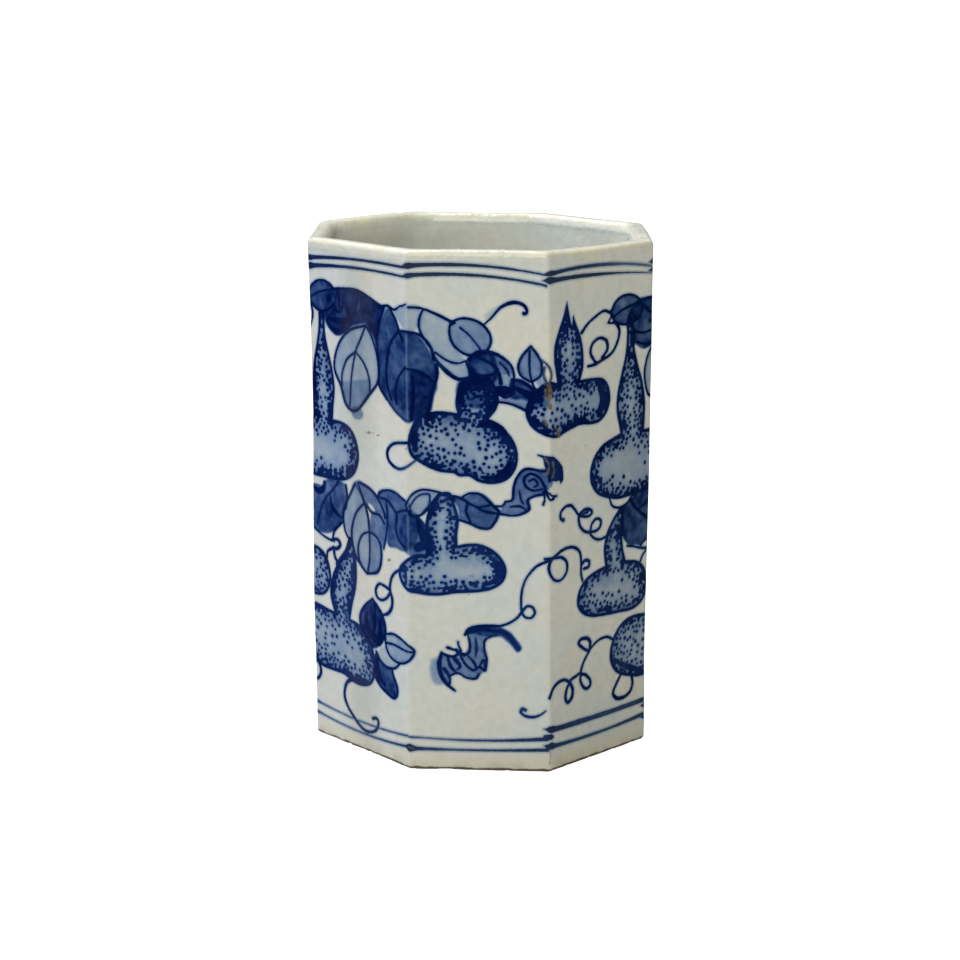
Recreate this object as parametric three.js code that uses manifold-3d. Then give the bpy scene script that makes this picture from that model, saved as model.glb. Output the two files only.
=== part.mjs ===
// An octagonal porcelain brush pot, built from slabs as a potter builds it: eight mitred wall slabs
// luted into a ring, a floor slab set between them, and soft coils pressed into the inner angles.
// Millimetres, +Z up. The origin is the centre of the plane that the foot stands on.
import * as THREE from "three";
import { mergeVertices } from "three/addons/utils/BufferGeometryUtils.js";
import Module from "manifold-3d";

const wasm = await Module();
wasm.setup();

// Driving dimensions.
const SIDES = 8;
const ACROSS_FLATS = 100; // between two opposite outer faces
const HEIGHT = 153;
const WALL = 5.5; // thickness of a wall slab
const SLIP_JOINT = 0.3; // gap between two luted pieces, which the slip fills
const ARRIS_RADIUS = 1.8; // rounding of the outer vertical edges
const LIP_RADIUS = 1.7; // rounding of both edges of the lip
const FOOT_BEVEL = 0.7; // the outer edge of the foot, wiped free of glaze
const FLOOR_THICKNESS = 6;
const FOOT_RECESS = 2.5; // from the foot's plane up to the underside of the floor slab
const CORNER_RADIUS = 14; // concave face of a corner coil
const CORNER_COIL_TOP = 4; // from the top of a corner coil up to the top of the lip
const FLOOR_COIL = 6; // how far the floor coil reaches in over the floor and up the walls

// Fineness of the round stretches.
const ARC_STEPS = 6;

// Worked out from the dimensions above.
const HALF_TURN = Math.PI / SIDES; // from the middle of a side to its arris
const OUTER = ACROSS_FLATS / 2; // distance from the axis to the middle of an outer face
const INNER = OUTER - WALL;
const FLOOR_TOP = FOOT_RECESS + FLOOR_THICKNESS;
const FLOOR_COIL_TOP = FLOOR_TOP + FLOOR_COIL;
const FRONT = -Math.PI / 2; // direction of the front side, as an angle in plan
const ARRIS = FRONT + HALF_TURN; // direction of the arris on the front side's right

const GLAZE_WHITE = 0xd6d5c9;
const INNER_GREY = 0xc4c3b6;
const CLAY_BUFF = 0xcdbfa4;

const SIDE_NAMES = [
  "front",
  "front_right",
  "right",
  "back_right",
  "back",
  "back_left",
  "left",
  "front_left",
];

// Materials.

function glaze(color, roughness) {
  return new THREE.MeshStandardMaterial({ color, roughness, metalness: 0 });
}

// Solids.

// A closed geometry as a manifold-3d solid.
function solidOf(geometry) {
  const bare = geometry.index ? geometry.toNonIndexed() : geometry.clone();
  bare.deleteAttribute("normal");
  bare.deleteAttribute("uv");
  const merged = mergeVertices(bare);
  return new wasm.Manifold(
    new wasm.Mesh({
      numProp: 3,
      vertProperties: merged.attributes.position.array,
      triVerts: new Uint32Array(merged.index.array),
    }),
  );
}

// A manifold-3d solid as a geometry for a mesh.
function geometryOf(solid) {
  const mesh = solid.getMesh();
  const geometry = new THREE.BufferGeometry();
  geometry.setAttribute("position", new THREE.BufferAttribute(mesh.vertProperties, mesh.numProp));
  geometry.setIndex(new THREE.BufferAttribute(mesh.triVerts, 1));
  geometry.computeVertexNormals();
  return geometry;
}

// An outline in plan, raised from one height to another.
function raised(shape, bottom, top) {
  const geometry = new THREE.ExtrudeGeometry(shape, {
    depth: top - bottom,
    bevelEnabled: false,
    curveSegments: ARC_STEPS,
  });
  return geometry.translate(0, 0, bottom);
}

// An outline of (y, z) points, drawn out along X on both sides of the middle.
function drawnOut(shape, width) {
  const geometry = new THREE.ExtrudeGeometry(shape, {
    depth: width,
    bevelEnabled: false,
    curveSegments: ARC_STEPS,
  });
  geometry.translate(0, 0, -width / 2);
  const turn = new THREE.Matrix4().makeBasis(
    new THREE.Vector3(0, 1, 0),
    new THREE.Vector3(0, 0, 1),
    new THREE.Vector3(1, 0, 0),
  );
  return geometry.applyMatrix4(turn);
}

// A ring or a slab with one corner under each arris, from (distance to a side's middle, z) points.
function octagonal(profile) {
  const points = profile.map(([apothem, z]) => new THREE.Vector2(apothem / Math.cos(HALF_TURN), z));
  return new THREE.LatheGeometry(points, SIDES, HALF_TURN).rotateX(Math.PI / 2);
}

// Wall slabs.

// Half the slab's width where it stands at this distance from the axis, up to its mitred end.
function mitredHalfWidth(distance) {
  return distance * Math.tan(HALF_TURN) - SLIP_JOINT / 2 / Math.cos(HALF_TURN);
}

// The front slab in plan: flat outside and inside, mitred ends, and half an arris on each corner.
function slabPlan() {
  const centre = OUTER - ARRIS_RADIUS; // the arris circle touches both of its sides
  const centreX = centre * Math.tan(HALF_TURN);
  const end = ARRIS - Math.asin(SLIP_JOINT / 2 / ARRIS_RADIUS);
  const shape = new THREE.Shape();
  shape.moveTo(-centreX, -OUTER);
  shape.lineTo(centreX, -OUTER);
  shape.absarc(centreX, -centre, ARRIS_RADIUS, FRONT, end, false);
  shape.lineTo(mitredHalfWidth(INNER), -INNER);
  shape.lineTo(-mitredHalfWidth(INNER), -INNER);
  shape.absarc(-centreX, -centre, ARRIS_RADIUS, -Math.PI - end, FRONT, false);
  return shape;
}

// The front slab in section: a rounded lip on top and a small bevel round the foot.
function slabSection() {
  const shape = new THREE.Shape();
  shape.moveTo(-OUTER + FOOT_BEVEL, 0);
  shape.lineTo(-INNER, 0);
  shape.lineTo(-INNER, HEIGHT - LIP_RADIUS);
  shape.absarc(-INNER - LIP_RADIUS, HEIGHT - LIP_RADIUS, LIP_RADIUS, 0, Math.PI / 2, false);
  shape.absarc(-OUTER + LIP_RADIUS, HEIGHT - LIP_RADIUS, LIP_RADIUS, Math.PI / 2, Math.PI, false);
  shape.lineTo(-OUTER, FOOT_BEVEL);
  shape.closePath();
  return shape;
}

function wallSlabGeometry() {
  const block = solidOf(raised(slabPlan(), 0, HEIGHT));
  const section = solidOf(drawnOut(slabSection(), ACROSS_FLATS));
  return geometryOf(block.intersect(section));
}

// Coils.

// The coil in the front side's right-hand inner angle, in plan: two legs against the walls and a
// concave face that runs smoothly on into both of them.
function cornerCoilPlan() {
  const wall = INNER - SLIP_JOINT; // distance from the axis to the legs
  const centre = (INNER - CORNER_RADIUS) / Math.cos(HALF_TURN);
  const centreX = centre * Math.cos(ARRIS);
  const centreY = centre * Math.sin(ARRIS);
  const half = HALF_TURN - Math.acos((CORNER_RADIUS - SLIP_JOINT) / CORNER_RADIUS);
  const heel = wall / Math.cos(HALF_TURN); // where the two legs meet
  const shape = new THREE.Shape();
  shape.absarc(centreX, centreY, CORNER_RADIUS, ARRIS + half, ARRIS - half, true);
  shape.lineTo(heel * Math.cos(ARRIS), heel * Math.sin(ARRIS));
  shape.closePath();
  return shape;
}

function cornerCoilGeometry() {
  return raised(cornerCoilPlan(), FLOOR_COIL_TOP + 2 * SLIP_JOINT, HEIGHT - CORNER_COIL_TOP);
}

// The coil round the floor: one leg up the walls, one on the floor slab, and a concave face.
function floorCoilGeometry() {
  const wall = INNER - SLIP_JOINT;
  const centre = wall - SLIP_JOINT - FLOOR_COIL; // of the concave face, straight above its toe
  const centreZ = FLOOR_COIL_TOP + SLIP_JOINT;
  const profile = [[wall, FLOOR_TOP], [wall, centreZ]];
  for (let step = 0; step <= ARC_STEPS; step += 1) {
    const angle = (step / ARC_STEPS) * (Math.PI / 2);
    const outward = FLOOR_COIL * Math.cos(angle);
    const down = FLOOR_COIL * Math.sin(angle);
    profile.push([centre + outward, centreZ - down]);
  }
  profile.push([centre, FLOOR_TOP], [wall, FLOOR_TOP]);
  return octagonal(profile);
}

// The floor slab: its middle stands proud of the seat that the floor coil is pressed onto.
function floorSlabGeometry() {
  const edge = INNER - SLIP_JOINT;
  const seat = FLOOR_TOP - SLIP_JOINT;
  const middle = INNER - FLOOR_COIL - 3 * SLIP_JOINT;
  return octagonal([
    [0, FOOT_RECESS],
    [edge, FOOT_RECESS],
    [edge, seat],
    [middle, seat],
    [middle, FLOOR_TOP],
    [0, FLOOR_TOP],
  ]);
}

// Assembly.

function addPiece(parent, name, geometry, material, turn = 0) {
  const piece = new THREE.Mesh(geometry, material);
  piece.name = name;
  piece.rotation.z = turn;
  parent.add(piece);
}

function brushPot() {
  const pot = new THREE.Group();
  const outside = glaze(GLAZE_WHITE, 0.2);
  const inside = glaze(INNER_GREY, 0.25);
  const bare = glaze(CLAY_BUFF, 0.8);
  const wallSlab = wallSlabGeometry();
  const cornerCoil = cornerCoilGeometry();
  SIDE_NAMES.forEach((side, index) => {
    const turn = index * 2 * HALF_TURN;
    const next = SIDE_NAMES[(index + 1) % SIDES];
    addPiece(pot, `wall_slab_${side}`, wallSlab, outside, turn);
    addPiece(pot, `corner_coil_${side}_to_${next}`, cornerCoil, inside, turn);
  });
  addPiece(pot, "floor_slab", floorSlabGeometry(), bare);
  addPiece(pot, "floor_coil", floorCoilGeometry(), inside);
  return pot;
}

export default brushPot();
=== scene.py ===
"""How the octagonal porcelain brush pot looks: its slightly uneven, glazed surfaces, its painting in
underglaze blue, a pale studio and the photo's camera. Lengths are in millimetres until a mesh,
a lamp or the camera is made. Piece names, sizes and places follow the CAD model."""

import math

import bpy
import numpy as np
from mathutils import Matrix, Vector


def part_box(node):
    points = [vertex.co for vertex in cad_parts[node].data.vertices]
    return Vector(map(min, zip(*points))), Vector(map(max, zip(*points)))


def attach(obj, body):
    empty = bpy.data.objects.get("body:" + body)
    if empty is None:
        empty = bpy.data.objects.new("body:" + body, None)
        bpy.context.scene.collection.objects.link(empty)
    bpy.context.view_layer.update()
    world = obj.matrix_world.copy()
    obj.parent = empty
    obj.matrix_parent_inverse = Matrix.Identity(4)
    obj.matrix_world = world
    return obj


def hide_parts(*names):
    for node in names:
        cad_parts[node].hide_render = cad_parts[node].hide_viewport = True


MM = 0.001

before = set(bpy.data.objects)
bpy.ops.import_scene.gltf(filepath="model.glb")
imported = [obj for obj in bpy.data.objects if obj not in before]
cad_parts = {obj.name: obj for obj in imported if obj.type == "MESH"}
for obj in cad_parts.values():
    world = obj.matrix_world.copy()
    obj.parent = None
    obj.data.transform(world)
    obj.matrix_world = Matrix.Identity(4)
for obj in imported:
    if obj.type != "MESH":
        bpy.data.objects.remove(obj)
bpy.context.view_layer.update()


# ---- Dimensions, from the CAD model --------------------------------------------------------------

SIDES = 8
SIDE_NAMES = ("front", "front_right", "right", "back_right", "back", "back_left", "left", "front_left")
HALF_TURN = math.pi / SIDES  # from the middle of a side to its arris
SLOPE = math.tan(HALF_TURN)


def cad_box(name):
    """Lowest and highest corner of a CAD node, in millimetres."""
    return [[value / MM for value in corner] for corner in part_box(name)]


wall_low, wall_high = cad_box("wall_slab_front")
slab_low, slab_high = cad_box("floor_slab")
coil_low, coil_high = cad_box("floor_coil")

OUTER = -wall_low[1]  # from the axis to the middle of an outer face
HEIGHT = wall_high[2]
SIDE = 2 * OUTER * SLOPE  # width of a side between its two arrises
PERIMETER = SIDES * SIDE
FLOOR_TOP = slab_high[2]
FLOOR_BOTTOM = slab_low[2]
COIL_TOP = coil_high[2]
WALL = 5.5
INNER = OUTER - WALL
CORNER_TOP = HEIGHT - 4  # top of the corner coils
ARRIS = 1.8  # rounding of the outer arrises
LIP = 1.7  # rounding of both edges of the lip
FOOT_BEVEL = 0.7
FILLET = 14.0  # concave face of the corner coils
CLEARANCE = 0.03  # between two pieces that the glaze joins

MIDDLE_HEIGHT = HEIGHT / 2

# Fineness of the meshes and of the painting, which share one grid on the outer wall.
COLUMN = 0.28
ROW = 0.3
ARRIS_COLUMNS = 6


# ---- Painting: the tools -------------------------------------------------------------------------
# The outer wall is unrolled. u runs to the right round the pot, from the left arris of the front
# side, and z runs up from the foot.

GRAIN_CELLS = 256  # the noise repeats after this many features
CURVE_STEPS = 6  # straight pieces between two given points of a line
FAR = 9.0
REACH = 1.5  # how far round a mark its distance is written down
BRUSH = 0.82  # the widths below were read off a blurred edge, so they are a little too wide
HAND_SHAKE = 0.13  # how much a line's width varies
DOT_SIZES = 0.42, 0.64  # radius of a gourd's dots
DOT_GAP = 0.16
DOT_TRIES = 4  # per square millimetre
WEB_SIZE = 0.95  # how fine the eaten inner side of a gourd's rim is
WEB_SHADE = 0.4  # strength of the wash that shows through the web at the outline


def grain(u, z, size, seed, octaves=2):
    """Smooth noise between -1 and 1 with features of about this size, in millimetres."""
    total = np.zeros(np.broadcast(u, z).shape)
    for octave in range(octaves):
        lattice = np.random.default_rng(seed + octave).uniform(-1, 1, (GRAIN_CELLS, GRAIN_CELLS))
        x, y = u / size * 2**octave, z / size * 2**octave
        i, j = np.floor(x).astype(int), np.floor(y).astype(int)
        fx, fy = x - i, y - j
        fx, fy = fx * fx * (3 - 2 * fx), fy * fy * (3 - 2 * fy)
        i0, i1, j0, j1 = (n % GRAIN_CELLS for n in (i, i + 1, j, j + 1))
        low = lattice[j0, i0] * (1 - fx) + lattice[j0, i1] * fx
        high = lattice[j1, i0] * (1 - fx) + lattice[j1, i1] * fx
        total += (low * (1 - fy) + high * fy) / 2**octave
    return total / (2 - 2.0 ** (1 - octaves))


def smooth_part(points, closed):
    """A smooth line through the points: cubic pieces whose pace follows the spacing."""
    p = np.array(points, float)
    if len(p) == 2:
        return p
    if closed:
        p = np.vstack([p[-1:], p, p[:2]])
    else:
        p = np.vstack([2 * p[:1] - p[1:2], p, 2 * p[-1:] - p[-2:-1]])
    pace = np.sqrt(np.linalg.norm(np.diff(p, axis=0), axis=1))
    t = np.concatenate([[0], np.cumsum(pace)])
    slope = (p[2:] - p[:-2]) / (t[2:] - t[:-2])[:, None]
    s = np.linspace(0, 1, CURVE_STEPS, endpoint=False)[:, None]
    line = []
    for k in range(1, len(p) - 2):
        span = t[k + 1] - t[k]
        here = (1 + 2 * s) * (1 - s) ** 2 * p[k] + s * s * (3 - 2 * s) * p[k + 1]
        leaving, coming = s * (1 - s) ** 2 * slope[k - 1], s * s * (s - 1) * slope[k]
        line.append(here + span * (leaving + coming))
    return np.vstack(line + [p[-2:-1]])


def curve(points, closed=False):
    """A smooth line through the points. A point given twice running is a corner, and a closed line
    with corners starts at one of them."""
    parts, part = [], [points[0]]
    for before, point in zip(points, points[1:]):
        if point == before:
            parts.append(part)
            part = []
        part.append(point)
    parts.append(part)
    if len(parts) == 1:
        return smooth_part(part, closed)
    if closed and parts[-1][-1] != parts[0][0]:
        parts[-1].append(parts[0][0])
    return np.vstack([smooth_part(part, False) for part in parts if len(part) > 1])


def slice_of(steps, low, high):
    """The part of a rising list of places that lies between low and high."""
    start, end = np.searchsorted(steps, [low, high])
    return slice(start, end)


def spread(values, count):
    """A number, or numbers spread evenly over a line, as one number for each of its points."""
    given = np.atleast_1d(values).astype(float)
    return np.interp(np.linspace(0, 1, count), np.linspace(0, 1, len(given)), given)


def distance_to(line, us, zs, reach, widths=None, tones=None):
    """On a grid, the distance to the edge of a line of these widths, up to reach, and the line's
    tone at its nearest point."""
    nearest = np.full((len(zs), len(us)), reach)
    tone = np.ones(nearest.shape)
    halves = np.zeros(len(line)) if widths is None else widths / 2
    tones = np.ones(len(line)) if tones is None else tones
    margin = reach + halves.max()
    for k in range(len(line) - 1):
        (au, az), (bu, bz) = line[k], line[k + 1]
        rows = slice_of(zs, min(az, bz) - margin, max(az, bz) + margin)
        columns = slice_of(us, min(au, bu) - margin, max(au, bu) + margin)
        u, z = us[None, columns], zs[rows, None]
        du, dz = bu - au, bz - az
        t = np.clip(((u - au) * du + (z - az) * dz) / max(du * du + dz * dz, 1e-9), 0, 1)
        away = np.hypot(u - au - t * du, z - az - t * dz) - halves[k] * (1 - t) - halves[k + 1] * t
        nearer = away < nearest[rows, columns]
        nearest[rows, columns] = np.where(nearer, away, nearest[rows, columns])
        here = tones[k] * (1 - t) + tones[k + 1] * t
        tone[rows, columns] = np.where(nearer, here, tone[rows, columns])
    return nearest, tone


def depth_inside(line, us, zs, reach):
    """On a grid, the distance to a closed line: positive inside it, negative outside."""
    inside = np.zeros((len(zs), len(us)), bool)
    for (au, az), (bu, bz) in zip(line, np.roll(line, -1, axis=0)):
        if az != bz:
            rows = slice_of(zs, min(az, bz), max(az, bz))
            at = au + (zs[rows] - az) * (bu - au) / (bz - az)
            inside[rows] ^= us[None, :] < at[:, None]
    away, _ = distance_to(np.vstack([line, line[:1]]), us, zs, reach)
    return np.where(inside, away, -away)


def step_up(low, high, value):
    """0 below low, 1 above high, and a smooth rise between."""
    t = np.clip((value - low) / (high - low), 0, 1)
    return t * t * (3 - 2 * t)


FRONT_LIFT = 1.5  # how much higher the middle of the front side is painted


def lifted(points):
    """Raises what falls on the front side, or on the one behind it, most at mid-height."""
    u = np.mod(points[:, 0] + SIDE / 2, 4 * SIDE) - SIDE / 2
    on_side = step_up(-3, 4, u) * step_up(SIDE + 4, SIDE - 3, u)
    share = np.clip(points[:, 1] / HEIGHT, 0, 1)
    lift = FRONT_LIFT * 4 * share * (1 - share) * on_side
    return points + np.stack([0 * lift, lift], axis=-1)


class Canvas:
    """The cobalt on the unrolled wall, as fields on a grid of columns u and rows z."""

    def __init__(self, columns, rows):
        self.u, self.z = columns, rows
        shape = (len(rows), len(columns))
        self.ink = np.full(shape, FAR)  # distance to the nearest dark brush mark, negative in it
        self.tone = np.ones(shape)  # strength of that mark
        self.wash = np.zeros(shape)  # strength of the thinned cobalt laid between the lines
        self.rust = np.zeros(shape)  # iron that came up through the thickest cobalt
        self.marks = 0  # how many marks are made, which gives each one its own grain
        self.at()

    def at(self, shift=0.0, rise=0.0, mirror=False, scale=1.0, turn=0.0):
        """Where the next marks go: mirrored, scaled and turned about the middle of their own side,
        then shifted."""
        hinge = np.array([SIDE / 2, MIDDLE_HEIGHT])
        c, s = scale * math.cos(math.radians(turn)), scale * math.sin(math.radians(turn))
        matrix = np.array([[c, -s], [s, c]]) @ np.diag([-1.0 if mirror else 1.0, 1.0])
        self.place = lambda points: lifted((points - hinge) @ matrix.T + hinge + [shift, rise])

    def layers(self):
        """The fields as a mesh keeps them. Ink is 1 at a mark's edge, more in it, and 0 far away.
        Low down, the cobalt is thinner."""
        ink = np.clip(1 - self.ink, 0, 2)
        tone = self.tone * (1 - 0.1 * step_up(95, 65, self.z))[:, None]
        return {"ink": ink, "tone": tone, "wash": self.wash, "rust": self.rust}

    def windows(self, line, margin):
        """The parts of the grid that marks within the margin of the line fall on, with their places."""
        (low_u, low_z), (high_u, high_z) = line.min(0) - margin, line.max(0) + margin
        rows = slice_of(self.z, low_z, high_z)
        for turn in (-PERIMETER, 0.0, PERIMETER):
            columns = slice_of(self.u, low_u + turn, high_u + turn)
            if rows.stop > rows.start and columns.stop > columns.start:
                yield (rows, columns), self.u[columns] - turn, self.z[rows]

    def lay(self, window, ink, tone):
        """Adds a dark mark, given as the distance to it."""
        nearer = ink < self.ink[window]
        self.tone[window] = np.where(nearer, tone, self.tone[window])
        self.ink[window] = np.minimum(self.ink[window], ink)

    def line(self, points, width=1.0, tone=1.0, closed=False):
        """A brush line. Width and tone are numbers, or numbers spread evenly along it."""
        path = self.place(curve(points, closed))
        self.marks += 1
        run = np.concatenate([[0], np.cumsum(np.linalg.norm(np.diff(path, axis=0), axis=1))])
        shake = 1 + HAND_SHAKE * grain(run, self.marks, 5.0, self.marks)
        widths = BRUSH * spread(width, len(path)) * shake
        tones = spread(tone, len(path))
        for window, us, zs in self.windows(path, widths.max() + REACH):
            self.lay(window, *distance_to(path, us, zs, REACH, widths, tones))

    def fill(self, points, strength, soft=0.5):
        """A wash of thinned cobalt inside an outline. It pools at its edge and streaks inside."""
        path = self.place(curve(points, True))
        self.marks += 1
        for window, us, zs in self.windows(path, 3 * soft):
            u, z = us[None, :], zs[:, None]
            depth = depth_inside(path, us, zs, 3.0) + 0.35 * grain(u, z, 3.0, self.marks)
            streaks = grain(u + 0.5 * z, 0.35 * z - 0.2 * u, 2.2, self.marks + 7)
            pools = grain(u, z, 8.0, self.marks + 13)
            edge = np.exp(-np.abs(depth - 0.3) / 0.45)
            wash = strength * (1 + 0.16 * streaks + 0.24 * pools + 0.14 * edge)
            wash = np.clip(wash, 0, 0.97) * step_up(-soft, soft, depth)
            self.wash[window] = 1 - (1 - self.wash[window]) * (1 - wash)

    def clear(self, points):
        """Wipes the wash off inside an outline, where the brush went round it."""
        path = self.place(curve(points, True))
        for window, us, zs in self.windows(path, 1.0):
            self.wash[window] *= 1 - step_up(-0.3, 0.3, depth_inside(path, us, zs, 1.0))

    def leaf(self, points, strength, veins=(), width=1.0):
        """An outlined leaf with a wash and its veins."""
        self.fill(points, strength)
        self.line(points, width, closed=True)
        for vein in veins:
            self.line(vein, (width, width, 0.7 * width))

    def gourd(self, points, rim=1.7, pale=0.2, spread=1.3, tone=1.0):
        """A gourd: a pale wash, a dark rim whose inner side is eaten away into a web, and dots that
        crowd towards it."""
        path = self.place(curve(points, True))
        self.marks += 1
        seed = self.marks
        dots = self.scatter(path, rim, spread)
        for window, us, zs in self.windows(path, REACH):
            u, z = us[None, :], zs[:, None]
            depth = depth_inside(path, us, zs, FAR)
            inside = step_up(-0.3, 0.3, depth)
            shade = pale * (1 + 0.35 * grain(u, z, 6.0, seed))
            shade = shade + WEB_SHADE * np.exp(-np.maximum(depth, 0) / (1.3 * rim))
            self.wash[window] = self.wash[window] * (1 - inside) + shade * inside
            band = rim * (1 + 0.45 * grain(u, z, 9.0, seed + 3, 1))
            web = (depth - band) / (1 + spread) - 1.15 * grain(u, z, WEB_SIZE, seed + 4, 1)
            ink = np.maximum(-depth, web)
            for at_u, at_z, size in dots:
                spot = slice_of(zs, at_z - REACH, at_z + REACH), slice_of(us, at_u - REACH, at_u + REACH)
                away = np.hypot(u[:, spot[1]] - at_u, z[spot[0]] - at_z) - size
                ink[spot] = np.minimum(ink[spot], away)
            ink = np.minimum(ink, np.abs(depth - 0.35) - 0.45)
            strength = tone * (0.93 + 0.12 * grain(u, z, 7.0, seed + 5))
            self.ink[window] = np.where(depth > 0, ink, self.ink[window])
            self.tone[window] = np.where(depth > 0, strength, self.tone[window])
            self.lay(window, ink, strength)

    def scatter(self, path, rim, spread):
        """Places and sizes of a gourd's dots: thick near its rim, few and in clusters inside."""
        dice = np.random.default_rng(self.marks)
        low, high = path.min(0), path.max(0)
        us, zs = (np.arange(low[axis], high[axis], 0.3) for axis in (0, 1))
        depth = depth_inside(path, us, zs, FAR)
        tries = int(DOT_TRIES * np.prod(high - low))
        columns, rows = dice.integers(0, len(us), tries), dice.integers(0, len(zs), tries)
        depths = depth[rows, columns]
        reach = spread * (1 + 0.8 * grain(us[columns], zs[rows], 9.0, self.marks + 11, 1))
        likely = np.exp(-np.maximum(depths - 1.2 * rim, 0) / np.maximum(reach, 0.3))
        taken = (depths > rim) & (dice.uniform(0, 1, tries) < likely)
        dots = []
        for column, row, size in zip(columns[taken], rows[taken], dice.uniform(*DOT_SIZES, taken.sum())):
            u, z = us[column], zs[row]
            if all(math.hypot(u - a, z - b) > size + r + DOT_GAP for a, b, r in dots):
                dots.append((u, z, size))
        return dots

    def scorch(self, points, width, strength=1.0):
        """A ragged streak of iron."""
        path = self.place(curve(points))
        self.marks += 1
        for window, us, zs in self.windows(path, 2 * width):
            away = distance_to(path, us, zs, 2 * width)[0] / width
            away = away + 0.5 * grain(us[None, :], 0.6 * zs[:, None], 0.9, self.marks)
            self.rust[window] = np.maximum(self.rust[window], strength * step_up(0.75, 0.2, away))


# ---- Painting: the motifs ------------------------------------------------------------------------
# A vine of bottle gourds with leaves, tendrils and bats, a stock pattern of folk porcelain. Each
# motif is written where it stands on its own side: u from that side's left arris, z from the foot.


def hanging_gourd(c):
    """A gourd with a long neck, half of it past the left arris, under a round dark leaf."""
    c.gourd(
        [(3.9, 131.5), (3.7, 127), (2.6, 122), (1.1, 116.5), (0.2, 110), (0.2, 105), (0.4, 101),
         (0.2, 99.8), (0.2, 99.8), (-5, 99.5), (-10, 96.5), (-12.3, 92), (-11.5, 87), (-8, 83.8),
         (-3, 82.3), (3, 82), (10, 82.2), (15, 83), (18.6, 85.2), (20.5, 88.5), (20.9, 92),
         (19.6, 96.2), (17, 99), (13.5, 100.1), (9.3, 100.2), (9.3, 100.2), (9.6, 104),
         (10.3, 109), (9.8, 114), (8.2, 119.5), (6.6, 125), (6.1, 131.5)],
        rim=1.8,
    )


def round_leaf(c):
    c.fill(
        [(0, 134.3), (0, 138), (2.5, 140.3), (6, 141.1), (9.5, 140.4), (11.2, 138.8), (10, 135.5),
         (7.5, 133.2), (4, 132.2), (1.2, 132.8)],
        0.8,
    )
    c.line([(0.3, 134.4), (-0.2, 137.5), (2.5, 140.2), (6, 141.1), (9.3, 140.3), (11, 139)], 0.8)
    c.line([(0.5, 134.3), (3, 132.4), (6, 132.1), (9, 133.2), (10.6, 134.6)], (0.8, 1.2, 1.0))
    c.line([(0.8, 135.8), (4, 137.3), (7.5, 138.3), (10.5, 138.8)], (0.7, 0.8, 0.5))
    c.line([(0.4, 133.6), (1.2, 131.2), (0.8, 128.8), (-0.6, 126)], (1.2, 1.0, 0.4))


def dark_leaf(c):
    """A broad dark leaf laid sideways, with a curled lobe at its root."""
    c.fill(
        [(6, 131.5), (9.5, 138.8), (14, 139.5), (20, 139.7), (25, 138.6), (33, 136.4), (33, 136.4),
         (30.6, 131.5), (29, 125), (27, 128), (24.5, 130.5), (24.5, 130.5), (19, 129.2),
         (15.5, 126.6), (12, 125.4), (8.5, 127), (6.6, 129.5)],
        0.82,
    )
    c.fill([(11, 134), (11.6, 138), (14.6, 138.6), (15, 135), (13.5, 132.4), (11.5, 132.6)], 0.6)
    c.line([(10.5, 139), (15, 139.5), (20.5, 139.7), (25.5, 138.5), (31, 136.2)], (1.0, 1.1, 0.9))
    c.line([(21.7, 139.4), (20.8, 135.5), (19, 132.4), (14.5, 130.6), (8, 130.3)], (0.9, 1.1, 0.8))
    c.line([(12.2, 138.6), (13.2, 136.5), (13.3, 134)], 1.2)
    c.line([(15.2, 138.3), (14.9, 135), (13.6, 132.7), (11.6, 132.9), (10.8, 134.4)], (0.6, 1.4, 0.8))
    c.line([(7.5, 129.4), (10, 127.4), (14, 127), (16.5, 126.6)], (0.9, 1.3, 0.6))
    c.line([(8, 130.2), (12, 129.6), (17, 130)], 1.0)


def hanging_leaf(c):
    """A long pale leaf, with a second one folded inside it."""
    outline = [(24.6, 130), (24.6, 130), (18.5, 128.2), (13.8, 124.6), (11.2, 120), (10.6, 115.4),
               (13.4, 110.8), (15.4, 105.9), (18.2, 104.3), (21, 105.2), (25.4, 109.8), (29.2, 114),
               (29.8, 118.3), (28.9, 123), (26.9, 127.3), (24.6, 130)]
    c.fill(outline, 0.22)
    c.fill([(13.8, 112.4), (13.8, 112.4), (19, 113.2), (26, 114.8), (26, 114.8), (25.6, 109.8),
            (21, 105.2), (18.2, 104.3), (15.4, 105.9), (13.8, 112.4)], 0.24)
    c.fill([(18, 105), (20.3, 106), (22.8, 104.5), (22.2, 102.6), (19.8, 102.1), (18, 103.4)], 0.3)
    c.line(outline, (1.0, 1.0, 1.3, 1.1, 0.9, 0.9))
    c.line([(20.3, 122), (16.2, 119), (14, 114.5), (13.8, 110.6)], (0.8, 1.0, 0.9))
    c.line([(20.3, 121.8), (23.6, 119), (25.8, 114.8), (26, 110.3)], (0.8, 1.0, 0.9))
    c.line([(24.6, 130), (22.2, 125.6), (20.2, 122), (18.2, 114.5), (17.2, 105.4)], (0.9, 0.9, 0.8))


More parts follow.
